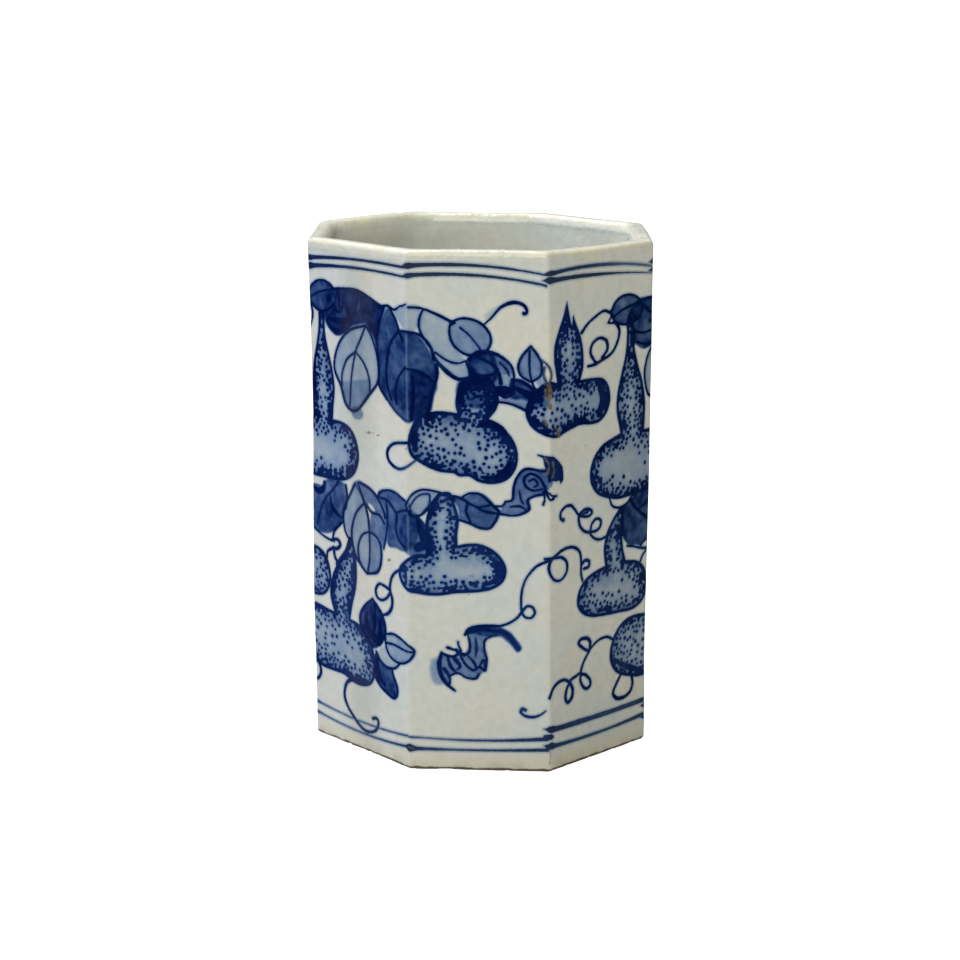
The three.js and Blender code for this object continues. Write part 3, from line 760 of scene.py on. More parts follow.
def resting_bat(c):
    """A bat with one wing spread and the other folded, its tendril for a tail."""
    c.fill([(6.8, 33), (9, 33.4), (9.6, 29), (10.4, 26.6), (8, 26), (6.4, 28.4)], 0.3, soft=1.0)
    c.fill([(10, 35), (9, 31), (10, 27.6), (12.6, 25), (11.9, 28.2), (14.6, 29.2), (17.6, 28.1),
            (20.4, 28.4), (22.6, 31), (22.8, 35), (21.9, 38), (23.2, 40.2), (19.4, 42), (17.6, 40.2),
            (17.8, 37.4), (16, 34.8), (13, 34)], 0.42)
    c.fill([(16.4, 41), (19, 43.1), (25, 43.7), (29.4, 42.3), (31.8, 39.4), (33, 37.2), (31.8, 36),
            (29.6, 38.4), (27, 40.4), (22.6, 40.6), (19.4, 41.4)], 0.66)
    c.line([(16.6, 40.9), (17.6, 42.6), (21, 43.6), (26.6, 43.7)], (0.9, 1.3, 1.0))
    c.line([(17, 41.3), (20.4, 42.6), (24, 42.4), (27.4, 42)], (1.0, 1.7, 1.4, 1.2), tone=0.85)
    c.line([(27, 42.4), (29.6, 40.6), (32.2, 37)], (1.6, 2.2, 1.6), tone=0.62)
    c.line([(17.4, 40.8), (18, 38), (17.6, 35.6), (16.2, 34.7)], (0.7, 1.0, 0.9))
    c.line([(24.4, 40.6), (22.4, 39.4), (22.2, 36.6), (22.9, 33.6), (22.6, 30.4)], (0.6, 0.9, 0.9, 0.8))
    c.line([(19.6, 40), (19.9, 37), (19.6, 34.6)], (0.6, 1.3, 0.5), tone=0.85)
    c.line([(9.6, 35.4), (8.9, 32), (9.5, 28.6), (11.2, 26), (13.5, 24.1)], (1.1, 1.7, 1.5, 1.3, 0.8))
    c.line([(9.6, 35.4), (11.4, 34.6), (13.4, 34.4), (15, 35.6)], (0.8, 1.0, 1.4))
    c.line([(11.4, 34.4), (12.2, 31.6), (13.8, 29.6)], (0.7, 1.3, 0.8), tone=0.95)
    c.line([(13.4, 33.8), (15, 31.6), (14.2, 30.4)], (1.6, 1.3, 0.6), tone=0.95)
    c.line([(10.4, 30.6), (11.9, 28.2), (12, 26.2)], (1.3, 1.0, 0.8), tone=0.9)
    c.line([(11.9, 28.5), (14.4, 29.4), (17, 28.1), (19.6, 27.9), (20.6, 29.2)], (0.7, 0.9, 1.1, 0.8))
    c.line([(15.2, 34.6), (16.8, 31.9), (19, 30.4), (20.6, 31.4), (22.3, 30.2)], (0.8, 1.0, 0.9))
    c.line([(17.4, 34.6), (19.2, 32.6), (19.9, 30.6)], (0.7, 1.0, 0.7))
    c.line([(20.8, 31.8), (22, 33.4), (22.6, 30.6)], (0.8, 1.1, 0.9), tone=0.9)
    c.line([(14.4, 36), (13.2, 36.4), (11.4, 37)], (0.9, 0.9, 1.2))
    c.line([(15.3, 36.2), (14.7, 37.6), (14.5, 38.8)], (0.9, 0.7, 0.8))
    c.line([(14, 36.4), (14.8, 35.4), (16.6, 35)], (1.2, 1.5, 1.0))


def small_hook(c):
    """A short loose hook of the brush near the foot."""
    c.line([(34.2, 18.6), (33.4, 19), (32.9, 18), (34.2, 16.9), (36.6, 16.6), (38.8, 17.4), (40.3, 18.7)],
           (1.3, 1.3, 1.0, 1.2, 0.9, 0.4), tone=0.88)


def foot_flaws(c):
    """Where bounding lines meet on two arrises, they ran together, and one arris is stained."""
    s = SIDE
    c.line([(-1.4, 6.9), (0, 6.7), (1.6, 6.7)], (1.2, 2.8, 1.2))
    c.line([(s - 1.4, 10.9), (s + 0.4, 10.8), (s + 1.4, 10.6)], (1.2, 2.2, 0.8))
    c.line([(s - 0.4, 7.6), (s + 0.6, 8.2)], 2.2)
    c.scorch([(s - 0.2, 7.4), (s + 0.2, 5.4), (s, 2.8)], 0.5, 0.6)
    c.scorch([(-0.6, 6.9), (0.9, 6.6)], 0.8, 0.5)


def double_loop(c):
    """The tendril of two loops that hangs from the lower gourd's left end to the bottom leaves."""
    c.line([(37.6, 60.4), (35.4, 58.8), (34.1, 56.6), (33.7, 53.6), (34.6, 51), (34.4, 48.4), (32.8, 46.2),
            (30.8, 45.3)], (1.0, 1.1, 1.2, 1.3, 1.5, 1.0))
    c.line([(33.4, 53.6), (31.6, 54.2), (29.2, 54.4), (27.8, 52.4), (28.3, 50.3), (30.2, 49.7),
            (32.4, 50.9), (33.8, 52.8)], (1.2, 1.1, 1.2, 1.1, 1.2))


def bottom_gourd(c):
    """A squat gourd near the foot, its neck leaning to the right."""
    c.gourd(
        [(17.4, 65), (14, 60), (11, 56.4), (8.8, 52.4), (7.7, 48), (8.2, 44.4), (9.6, 41.2), (9.6, 41.2),
         (6.8, 41.4), (1, 42.2), (-4, 41.6), (-8, 38.6), (-9.6, 33), (-8.6, 27.6), (-5, 24), (0, 23.2),
         (4, 22.3), (9, 22.3), (13, 22.2), (17.4, 20.8), (22, 20.9), (25.4, 22.8), (26.9, 26.4),
         (26.8, 31), (25.6, 35), (23, 38.2), (20, 40), (16.5, 40.6), (16.5, 40.6), (17.6, 45.4),
         (19.2, 51), (19.6, 57), (18.8, 62.6)],
        rim=1.8, spread=1.2, tone=0.92,
    )


def side_gourd(c):
    """The right half of a gourd whose other half is past the left arris."""
    c.gourd(
        [(0, 60.2), (3.2, 59.7), (6, 57.8), (7.6, 54.4), (8, 51), (6.9, 47.8), (4.6, 45.6), (1, 44.8),
         (-4, 45), (-8, 47.6), (-9.4, 52), (-8.2, 56.6), (-4.6, 59.6)],
        rim=1.6, tone=0.92,
    )


def leaf_spray(c):
    """Three short leaves off the bottom gourd: one up, one to the side, one down."""
    c.fill([(26.4, 49.3), (26.4, 49.3), (23.4, 46.8), (21.1, 43.6), (20.9, 40.6), (22.6, 38), (25.6, 34.4),
            (28.4, 34.8), (31, 37.4), (31.8, 41), (30.8, 44.4), (29, 47.2), (26.4, 49.3)], 0.76)
    c.line([(26.4, 49.3), (26.4, 49.3), (23.4, 46.8), (21.1, 43.6), (20.9, 40.6), (22.4, 38.4),
            (25.4, 35)], (0.7, 0.9, 0.9, 1.0))
    c.line([(26.5, 49.2), (29, 47), (30.9, 44.4), (31.7, 41), (31, 38)], (0.7, 0.9, 1.0, 1.3))
    c.line([(27.2, 48.6), (27.4, 44), (27, 40)], (0.7, 1.0, 1.6))
    c.line([(24.2, 44.6), (23.6, 42), (25.4, 38.6), (28.6, 36.6)], (0.8, 1.6, 3.4, 3.4), tone=0.93)
    c.line([(29.6, 43), (29.4, 39.6), (30, 37)], (1.6, 2.4, 1.6), tone=0.93)
    c.leaf(
        [(31.6, 39.6), (31.6, 39.6), (35, 40.4), (38.6, 39.5), (41.4, 37.8), (43.1, 35.9), (42, 33.8),
         (39.4, 32.5), (36.4, 32.1), (33.4, 33.3), (31.8, 36), (31.6, 39.6)],
        0.27, veins=[[(31.9, 37), (35, 37.2), (39, 36.6), (43, 35.6)]], width=0.95,
    )
    c.fill([(28, 32.8), (31.4, 35.6), (33, 33.2), (37.2, 31.7), (34.4, 29.7), (30.6, 29.7)], 0.14)
    c.line([(27.6, 33.2), (29.4, 30.7), (32.4, 29.4), (35.4, 30), (37.4, 31.7)], (1.1, 1.1, 0.9))
    c.fill([(27, 31), (27, 25), (29, 22.6), (32, 21), (34.8, 20.3), (36.5, 22), (36.4, 24.8), (34.8, 27.6),
            (34.2, 29.8), (31, 29.2), (28.6, 31)], 0.76)
    c.line([(27, 25), (29, 22.8), (32, 21.2), (34.8, 20.4), (36.4, 22), (36.2, 24.8), (34.8, 27.4),
            (34.2, 29.6)], (1.2, 1.0, 0.9, 1.0, 0.8))
    c.line([(27.6, 32), (27.8, 28), (28.6, 25.4), (31, 23.8)], (1.8, 3.0, 2.6, 1.4), tone=0.95)


def bottom_hook(c):
    """A tendril that drops from the bottom gourd across both foot lines and hooks up again."""
    c.line([(16.4, 21.6), (14.2, 20), (13, 17.4), (13, 14.6), (14.6, 11.8), (17.4, 9.2), (20.2, 7.2),
            (22.8, 6.6), (25.6, 7.4), (27.4, 9.2), (27.7, 11.2), (26.8, 12), (25.4, 11.5)],
           (1.6, 1.3, 1.2, 1.3, 1.1, 1.2, 1.3))
    c.line([(0.8, 24), (2, 22), (2.2, 20), (1.2, 18.2), (-0.6, 17.2)], (1.4, 1.2, 1.1))


def curly_tendril(c):
    """A hook and two loops that trail off a gourd's shoulder."""
    c.line([(5.4, 75.9), (4.3, 76.6), (4.4, 78.4), (6.2, 79.7), (8.4, 79.7), (10, 78.2), (11.5, 76.6),
            (13.8, 77.6), (16, 77.3), (16.8, 76.2), (15.4, 75.4), (12.8, 75.8), (11.7, 76.4),
            (11.8, 73.6), (13.6, 71.3), (16.2, 70.3)], (1.6, 1.1, 1.2, 1.0, 1.2, 1.0, 1.1, 1.2, 1.1))
    c.line([(13.4, 76.5), (15.2, 76.6)], 0.9)
    c.line([(16.2, 70.2), (16.9, 72.8), (18.6, 74), (20.4, 73.3), (20.3, 71.4), (18.6, 70.4),
            (16.3, 70.3), (17.5, 68.6), (20, 67.5), (22.6, 67.8), (24.6, 68.4)],
           (1.0, 1.2, 1.1, 1.2, 1.1, 1.0, 1.1, 1.0))


def bell_gourd(c):
    """A gourd whose neck comes out from under a leaf and whose body runs to both sides."""
    c.gourd(
        [(28.6, 75.6), (25.4, 72.2), (23.2, 68.8), (22.2, 64.4), (22.6, 60.6), (23, 58.8), (23, 58.8),
         (18, 57.8), (14.2, 56), (11.9, 53), (11.3, 49.6), (13, 46.6), (16.6, 44.6), (22, 43.7),
         (29, 43.2), (35, 42.9), (39, 44.2), (41.2, 47), (41.5, 51), (40.2, 55), (37, 57.6),
         (31.8, 58.8), (31.8, 58.8), (30.6, 62), (29.9, 66), (29.6, 70), (30.2, 75)],
        rim=1.75,
    )


def drooping_leaf(c):
    """A broad dark leaf behind the bell gourd, under the tall gourd."""
    s = SIDE
    c.fill([(30, 76.4), (34, 79), (s, 79.4), (s + 6, 77), (s + 8, 70), (s + 5, 64), (s, 61.6),
            (36, 62.6), (32.6, 63.6), (29.8, 68)], 0.78)
    c.clear([(25.6, 78.3), (34, 78.4), (33, 77), (30.6, 76.1), (27.4, 76.3)])
    c.line([(24, 79), (25.2, 76.8), (28, 75.7), (31.4, 76.3), (34.4, 78.8)], (0.8, 1.0, 0.8))
    c.line([(30, 75.6), (29.6, 71.6), (30, 67)], (0.8, 1.4, 1.0))
    c.line([(34, 79), (s - 1, 79.2), (s + 5.4, 77), (s + 8.2, 70.6), (s + 5, 63.8), (s, 61),
            (38.4, 61.4), (35.4, 62.4), (32.2, 63.2)], (0.8, 1.1, 1.2, 0.9, 0.8))
    c.line([(33, 77.4), (36.4, 73.6), (s, 70), (s + 3.6, 66.8)], (1.4, 1.2, 0.8))
    c.line([(36.4, 73.6), (s - 0.6, 75.2), (s + 2.6, 75.4)], (1.0, 0.9, 0.6))
    c.line([(s - 1, 70.6), (s + 2.4, 71.6), (s + 5.8, 71.4)], (1.0, 0.9, 0.6))
    c.line([(38.4, 62.2), (s - 1.2, 63.6), (s + 1, 66)], (0.8, 0.9, 0.7))
    c.line([(38.4, 57.2), (39.6, 59.2), (s + 0.4, 60.6)], (0.9, 0.9, 0.7))
    c.clear([(38.9, 62.2), (s - 0.9, 63.3), (s + 0.2, 62.2), (s - 0.5, 61.4)])


def ball_gourd(c):
    """A round gourd that sits on the right arris, with a drop-shaped loop under it."""
    s = SIDE
    c.gourd(
        [(s, 40.3), (36, 40.8), (32, 40), (28.8, 37.8), (26.7, 34.6), (25.8, 31), (26.3, 27.8),
         (28.2, 25), (31, 23.2), (35, 21.9), (38, 21.1), (s + 2, 21.2), (s + 8, 23.6), (s + 11, 28),
         (s + 10.8, 33), (s + 7, 38.2)],
        rim=1.5, spread=1.6, tone=0.95,
    )
    c.line([(27.6, 28.6), (31, 26.6), (35, 24.6), (39, 23)], (1.0, 2.0, 2.4, 1.8), tone=0.85)
    c.line([(30.4, 22.9), (28.6, 20.6), (27.3, 18.2), (28.8, 16.3), (31.8, 15.8), (34.8, 16.9),
            (36, 19.4), (35.4, 22.4)], (1.1, 1.3, 1.5, 1.3, 1.3, 1.3))


def triple_loop(c):
    """The tendril of three loops that trails off the ball gourd."""
    c.line([(27, 35.2), (24.4, 36.6), (21, 36.5), (18, 35.1), (16, 33.1), (14.2, 30.8), (13.2, 27.8),
            (15.2, 26.8), (17, 25), (17.3, 23.2), (15.8, 22.4), (14.2, 23.4), (13, 25.6), (13.1, 27.7),
            (11, 27.3), (8.6, 26.3), (9.7, 23.8), (9.4, 21.2), (7.7, 20), (6.7, 21.6), (7.2, 24.2),
            (8.2, 26), (6.2, 27.3), (3.6, 27.1), (1.4, 25.4), (0, 22.6)],
           (1.1, 1.0, 1.0, 1.3, 1.2, 1.3, 1.2, 1.1, 1.3, 1.7, 1.4, 1.1, 1.3, 1.1))
    c.line([(16.2, 34), (14, 35.4), (12.1, 37.2), (13, 38.3), (15.6, 38.1), (17, 36.6), (16.8, 34.6)],
           (1.1, 1.3, 1.5, 1.2))


# Each side's four bounding lines. A line is its height at the left and right arris, how much it
# arches up between them, its widths, and its strengths.
BAND_TURN = 1.9  # how far before its own arris the brush came down
BAND_BLOB = 2.2  # how far on the brush was pressed hardest


def band(c, start, end, arch, widths, tones):
    """One bounding line: it starts with a pointed blob, and arches from arris to arris."""
    shares = np.linspace(0, 1, 61)
    run = shares * (SIDE + 0.6 * BAND_TURN)
    us = run - BAND_TURN
    zs = start + (end - start) * shares + 4 * arch * shares * (1 - shares)
    blob = 1 + 0.6 * np.exp(-(((run - BAND_BLOB) / 1.5) ** 2))
    pressed = spread(widths, len(shares)) * blob * step_up(-0.5, BAND_BLOB + 0.6, run)
    strength = np.clip(spread(tones, len(shares)) * (0.7 + 0.3 * blob), 0, 1)
    c.line(list(zip(us, zs)), pressed, tone=strength)


def side_bands(c, index):
    """The two lines under the lip and the two above the foot, one brush stroke each to a side."""
    for start, end, arch, widths, tones in BANDS[index]:
        band(c, start, end, arch, widths, tones)


FADING, EVEN = (1.0, 1.0, 0.75), (0.95, 1.0, 0.9)
WEAK = (0.5, 0.42, 0.6)
BANDS = (
    (  # front
        (148.5, 146.4, 1.3, (1.4, 1.1, 0.8, 0.5), FADING),
        (145.7, 143.4, 1.4, (1.3, 1.1, 0.8, 0.8), FADING),
        (10.2, 10.1, -0.9, (0.6, 0.7, 0.9, 1.4), (0.45, 0.5, 0.75, 1.0)),
        (6.6, 6.8, -0.4, (1.4, 0.9, 0.9, 1.2), (0.9, 0.6, 0.7, 0.9)),
    ),
    (  # front right
        (146.5, 145.5, 2.0, (1.3, 1.2, 1.1, 0.7), (1.0, 0.8, 0.45, 0.4)),
        (144.8, 143.5, 1.2, (1.6, 1.3, 0.6, 0.3), FADING),
        (13.1, 12.9, -0.3, (1.7, 2.1, 1.8, 2.0), (0.95, 0.8, 0.7, 0.8)),
        (8.1, 8.3, -0.8, (1.7, 1.2, 1.0, 1.7), (0.95, 0.7, 0.65, 0.75)),
    ),
    (  # right
        (146.6, 148.4, 0.9, (1.5, 1.0, 0.8, 0.6), FADING),
        (144.2, 145.6, 1.1, (1.3, 1.0, 0.9, 0.5), EVEN),
        (11.2, 10.0, -0.6, (1.6, 1.2, 0.9, 0.8), EVEN),
        (7.4, 6.6, -0.5, (1.3, 1.0, 1.0, 1.1), (0.9, 0.7, 0.6, 0.8)),
    ),
    (  # back right
        (148.2, 149.2, 0.8, (1.3, 1.0, 0.8, 0.8), EVEN),
        (145.5, 146.5, 0.7, (1.2, 1.1, 0.9, 0.6), FADING),
        (9.8, 10.6, -0.7, (1.1, 0.8, 0.8, 1.1), WEAK),
        (6.5, 7.4, -0.5, (1.4, 0.9, 0.9, 1.0), EVEN),
    ),
    (  # back
        (149.1, 148.0, 1.2, (1.4, 1.2, 0.9, 0.5), FADING),
        (146.3, 145.2, 1.1, (1.4, 1.0, 0.9, 0.7), EVEN),
        (10.7, 10.2, -0.8, (1.3, 1.0, 0.9, 1.0), (0.9, 0.7, 0.6, 0.7)),
        (7.3, 6.8, -0.6, (1.2, 1.0, 0.9, 1.4), EVEN),
    ),
    (  # back left
        (147.9, 148.8, 1.3, (1.4, 1.2, 1.0, 0.5), (1.0, 0.8, 0.5, 0.45)),
        (145.2, 146.2, 0.9, (1.3, 1.0, 0.8, 0.6), FADING),
        (10.3, 11.4, -0.5, (1.2, 1.4, 1.2, 1.3), EVEN),
        (6.9, 8.0, -0.7, (1.5, 1.1, 1.0, 1.0), (0.9, 0.65, 0.6, 0.8)),
    ),
    (  # left
        (148.9, 147.3, 0.9, (1.3, 1.0, 0.8, 0.6), FADING),
        (146.1, 144.8, 1.0, (1.4, 1.2, 0.9, 0.6), EVEN),
        (11.2, 10.6, -0.9, (1.3, 1.0, 0.8, 0.7), FADING),
        (7.8, 7.2, -0.6, (1.2, 1.0, 0.9, 0.9), WEAK),
    ),
    (  # front left
        (147.0, 148.2, 0.8, (1.4, 1.1, 0.9, 0.8), EVEN),
        (144.6, 145.6, 0.9, (1.7, 1.1, 0.8, 0.7), EVEN),
        (10.6, 10.3, -1.4, (0.8, 0.7, 0.7, 0.7), WEAK),
        (7.3, 7.0, -1.6, (0.8, 0.8, 0.8, 1.0), (0.5, 0.45, 0.6, 0.8)),
    ),
)


# The scheme of motifs fills four sides and comes twice round the pot. Each group of connected
# motifs has the side it is written for and how the second time differs from the first.
GROUPS = (
    (-1, (hanging_leaf, dark_leaf, folded_leaf, round_leaf, hanging_gourd, vine_stem), dict(rise=0.9)),
    (0, (canopy, leaning_gourd, forked_gourd, leaf_knot, small_leaf), dict(rise=0.9)),
    (-1, (shadow_leaves, lower_canopy, folded_pair, side_gourd, double_loop), dict(rise=-1.2)),
    (0, (lower_gourd, branch_leaf, flying_bat), dict(rise=-1.2)),
    (-1, (bottom_gourd, leaf_spray, bottom_hook), dict(scale=0.96, rise=-1.8)),
    (-1, (ring_tendril,), dict(rise=0.9)),
    (0, (resting_bat,), dict(shift=1.5, turn=-7.0)),
    (0, (looped_tendril, small_hook, foot_flaws), dict(rise=-1.2)),
    (1, (neighbour_leaf, sprig), dict(rise=-1.4)),
    (1, (drooping_leaf, bell_gourd, tall_gourd, curly_tendril), dict(rise=-1.4)),
    (1, (ball_gourd, triple_loop), dict(rise=1.2, turn=1.5)),
    (0, (leaning_shade,), dict(rise=0.9)),
    (0, (lower_shade,), dict(rise=-1.2)),
)


# What fills the two gaps between: how many sides on, the motif, its rise and whether it is mirrored.
FILLERS = (
    (1.70, double_loop, 62, False),
    (2.105, triple_loop, 25, False),
    (1.56, small_hook, 15, False),
    (6.255, double_loop, 58, True),
    (5.84, triple_loop, 27, True),
    (6.3, small_hook, 13, True),
)
FILLER_SCALE = 0.75


def paint(c):
    """The whole decoration: the bounding lines side by side, then the scheme twice, then what
    fills the two gaps between."""
    for index in range(SIDES):
        c.at(shift=(index if index < SIDES - 1 else -1) * SIDE)
        side_bands(c, index)
    for half in (0, SIDES // 2):
        for side, motifs, change in GROUPS:
            change = dict(change) if half else {}
            c.at(shift=(side + half) * SIDE + change.pop("shift", 0.0), **change)
            for motif in motifs:
                motif(c)
    for start, motif, rise, mirror in FILLERS:
        c.at(shift=start * SIDE, rise=rise, mirror=mirror, scale=FILLER_SCALE)
        motif(c)


# ---- Shapes --------------------------------------------------------------------------------------


def visual(node):
    """The name of the piece that stands for a CAD node."""
    return f"{node}_visual"


def columns_of(flat_count, arc_count):
    """Columns across one side: how far along its flat and along its corner rounding each one is."""
    low, high = np.linspace(-1, 0, arc_count + 1)[:-1], np.linspace(0, 1, arc_count + 1)[1:]
    flat = np.concatenate([-np.ones(arc_count), np.linspace(-1, 1, flat_count + 1), np.ones(arc_count)])
    arc = np.concatenate([low, np.zeros(flat_count + 1), high])
    return flat, arc


def lay_out(section, flat, arc, index):
    """Points of one side. The section's rows are (distance from the axis, corner rounding, height)."""
    apothem, corner, z = (np.array(section, float)[:, k : k + 1] for k in range(3))
    angle = arc * HALF_TURN
    x = flat * (apothem - corner) * SLOPE + corner * np.sin(angle)
    y = -(apothem - corner) - corner * np.cos(angle)
    c, s = math.cos(2 * index * HALF_TURN), math.sin(2 * index * HALF_TURN)
    return np.stack([c * x - s * y, s * x + c * y, z + 0 * x], axis=-1)


def make_waves(count, shortest, longest, seed):
    """Directions, phases and weights of the slow waves in the clay."""
    dice = np.random.default_rng(seed)
    length = dice.uniform(shortest, longest, count)
    way = dice.normal(size=(count, 3))
    way *= (2 * math.pi / length / np.linalg.norm(way, axis=1))[:, None]
    return way, dice.uniform(0, 2 * math.pi, count), length / length.sum()


CLAY_WAVES = make_waves(10, 35, 130, 5)
SWELL = 0.16  # how much a side bulges in its middle
UNEVEN = 0.75  # how far the clay strays from true
OVAL = 0.3  # how far the kiln pulled the ring out of round
RIM_DIP = 0.22  # how uneven the lip's height is
SKEW = 0.06  # how far the octagon is out of square: its right side comes forward, its left goes back
NARROW = 1.7  # how far the front side's right arris leans in at the lip


def warp(points):
    """Moves points as the kiln and the hand moved the clay. One rule for all pieces keeps them fitted."""
    x, y, z = points[..., 0], points[..., 1], points[..., 2]
    radius, turn, rise = np.hypot(x, y), np.arctan2(y, x), z / HEIGHT
    out = SWELL * np.cos(SIDES * (turn + math.pi / 2)) * np.sin(math.pi * np.clip(rise, 0, 1))
    out = out + OVAL * np.sin(2 * turn + 0.8 + rise) * (0.3 + 0.7 * rise)
    for way, phase, weight in zip(*CLAY_WAVES):
        out = out + UNEVEN * weight * np.sin(points @ way + phase)
    near_axis = np.clip(radius / 25, 0, 1)
    out = out * near_axis
    off_arris = np.abs(turn - (HALF_TURN - math.pi / 2)) / (2 * HALF_TURN)
    lean = NARROW * rise * np.clip(1 - off_arris, 0, 1) * near_axis
    dip = np.sin(3 * turn + 1.1) + 0.6 * np.sin(5 * turn + 2.3)
    push = out / np.maximum(radius, 1)
    moved = [x * (1 + push) - lean, y * (1 + push) - SKEW * x, z + RIM_DIP * dip * rise**2]
    return np.stack(moved, axis=-1)


def chip(points):
    """Wears the foot's edge into small nicks."""
    x, y, z = points[..., 0], points[..., 1], points[..., 2]
    depth = 0.9 * np.clip(grain(x, y, 2.2, 41) - 0.2, 0, 1) + 0.25 * np.abs(grain(x, y, 6.0, 43))
    worn = depth * np.clip(1 - z / 1.3, 0, 1)
    radius = np.hypot(x, y)
    inward = 1 - worn * np.clip((radius - INNER - 1) / (WALL - 1), 0, 1) / radius
    return np.stack([x * inward, y * inward, z + 0.3 * worn * (z < 0.4)], axis=-1)


def normals_of(points):
    """Directions out of a grid of points whose rows close, from the points on both sides of each.
    The first and the last column are only there to look across, and get none."""
    across = points[:, 2:] - points[:, :-2]
    up = (np.roll(points, -1, axis=0) - np.roll(points, 1, axis=0))[:, 1:-1]
    out = np.cross(across, up)
    return out / np.maximum(np.linalg.norm(out, axis=-1, keepdims=True), 1e-12)


def add_mesh(name, points, polygons, normals=None, fields=None):
    """A mesh object. Polygons is a list of arrays, one polygon to a row; fields are per-point values."""
    corners = np.concatenate([group.ravel() for group in polygons])
    sizes = np.concatenate([np.full(len(group), group.shape[1]) for group in polygons])
    mesh = bpy.data.meshes.new(name)
    mesh.vertices.add(len(points))
    mesh.vertices.foreach_set("co", (points * MM).ravel())
    mesh.loops.add(len(corners))
    mesh.loops.foreach_set("vertex_index", corners.astype(np.int32))
    mesh.polygons.add(len(sizes))
    starts = np.concatenate([[0], np.cumsum(sizes)[:-1]])
    mesh.polygons.foreach_set("loop_start", starts.astype(np.int32))
    mesh.polygons.foreach_set("use_smooth", np.ones(len(sizes), bool))
    mesh.update(calc_edges=True)
    for field, values in (fields or {}).items():
        layer = mesh.attributes.new(field, "FLOAT", "POINT")
        layer.data.foreach_set("value", values.ravel().astype(np.float32))
    if normals is not None:
        mesh.normals_split_custom_set_from_vertices(normals.reshape(-1, 3))
    piece = bpy.data.objects.new(name, mesh)
    bpy.context.scene.collection.objects.link(piece)
    return piece


def quads(rows, columns, wrap_rows, wrap_columns):
    """The four-sided faces of a grid of points."""
    row = np.arange(rows if wrap_rows else rows - 1)[:, None]
    column = np.arange(columns if wrap_columns else columns - 1)[None, :]
    next_row, next_column = (row + 1) % rows, (column + 1) % columns
    corners = [row * columns + column, row * columns + next_column,
               next_row * columns + next_column, next_row * columns + column]
    return np.stack([corner.ravel() for corner in corners], axis=-1)


def arc_of(centre, radius, start, end, count):
    """Points of an arc in the section, as (distance from the axis, height)."""
    angles = np.radians(np.linspace(start, end, count))
    return [(centre[0] + radius * math.cos(a), centre[1] + radius * math.sin(a)) for a in angles]


LIP_CORNER = 11.0  # corner rounding of the inner face at the lip
COIL_TOP_CORNER = 12.0  # and where it meets the corner coils
HIDDEN_CORNER = 1.0  # and behind them
INNER_LIP = 2.3  # how far the lip's inner rounding reaches out over the wall
INNER_LIP_DEPTH = 3.6  # and down it
SHOWN_GAP = 0.008  # between the corner coils' tops and the wall, where it would show


def wall_section():
    """Round the wall: up its outer face, over the lip, down its inner face and under the foot."""
    outside = [(OUTER, z) for z in wall_rows]
    lip = arc_of((OUTER - LIP, HEIGHT - LIP), LIP, 0, 90, 9)[1:]
    lip += [(d, HEIGHT) for d in np.linspace(OUTER - LIP, INNER + INNER_LIP, 6)[1:-1]]
    for angle in np.radians(np.linspace(90, 180, 12)):
        apothem = INNER + INNER_LIP * (1 + math.cos(angle))
        lip.append((apothem, HEIGHT - INNER_LIP_DEPTH * (1 - math.sin(angle))))
    rows = [(apothem, ARRIS, z) for apothem, z in outside]
    for apothem, z in lip:
        share = (OUTER - apothem) / WALL
        rows.append((apothem, ARRIS + (LIP_CORNER - ARRIS) * share, z))
    rows += [(INNER, COIL_TOP_CORNER, z) for z in (CORNER_TOP + CLEARANCE, CORNER_TOP)]
    hidden = [CORNER_TOP - SHOWN_GAP, *np.arange(144, 4, -4.0), 1.2, 0.4]
    rows += [(INNER, HIDDEN_CORNER, z) for z in hidden]
    under = [(INNER + 0.1, 0.1), (INNER + 0.4, 0), (46, 0), (47.2, 0), (48.2, 0), (48.9, 0)]
    under += [(OUTER - FOOT_BEVEL, 0.03), (OUTER - 0.4, 0.14), (OUTER - 0.14, 0.4)]
    for apothem, z in under:
        share = (apothem - INNER) / WALL
        rows.append((apothem, HIDDEN_CORNER + (ARRIS - HIDDEN_CORNER) * share, z))
    return rows


wall_rows = np.linspace(FOOT_BEVEL, HEIGHT - LIP, round((HEIGHT - LIP - FOOT_BEVEL) / ROW) + 1)
wall_flat, wall_arc = columns_of(round(SIDE / COLUMN), ARRIS_COLUMNS)


def widen(flat, arc):
    """Adds a column past each end, where the next side's first one is."""
    step = abs(arc[-1] - arc[-2])
    return np.concatenate([flat[:1], flat, flat[-1:]]), np.concatenate([[-1 - step], arc, [1 + step]])


def painting_columns():
    """Where the outer wall's columns are on the unrolled wall, round the whole pot."""
    flat_end = (OUTER - ARRIS) * SLOPE
    across = wall_flat * flat_end + wall_arc * (SIDE / 2 - flat_end)
    sides = [across[:-1] + SIDE / 2 + (index - 1) * SIDE for index in range(SIDES)]
    return np.concatenate(sides + [[(SIDES - 1) * SIDE]])


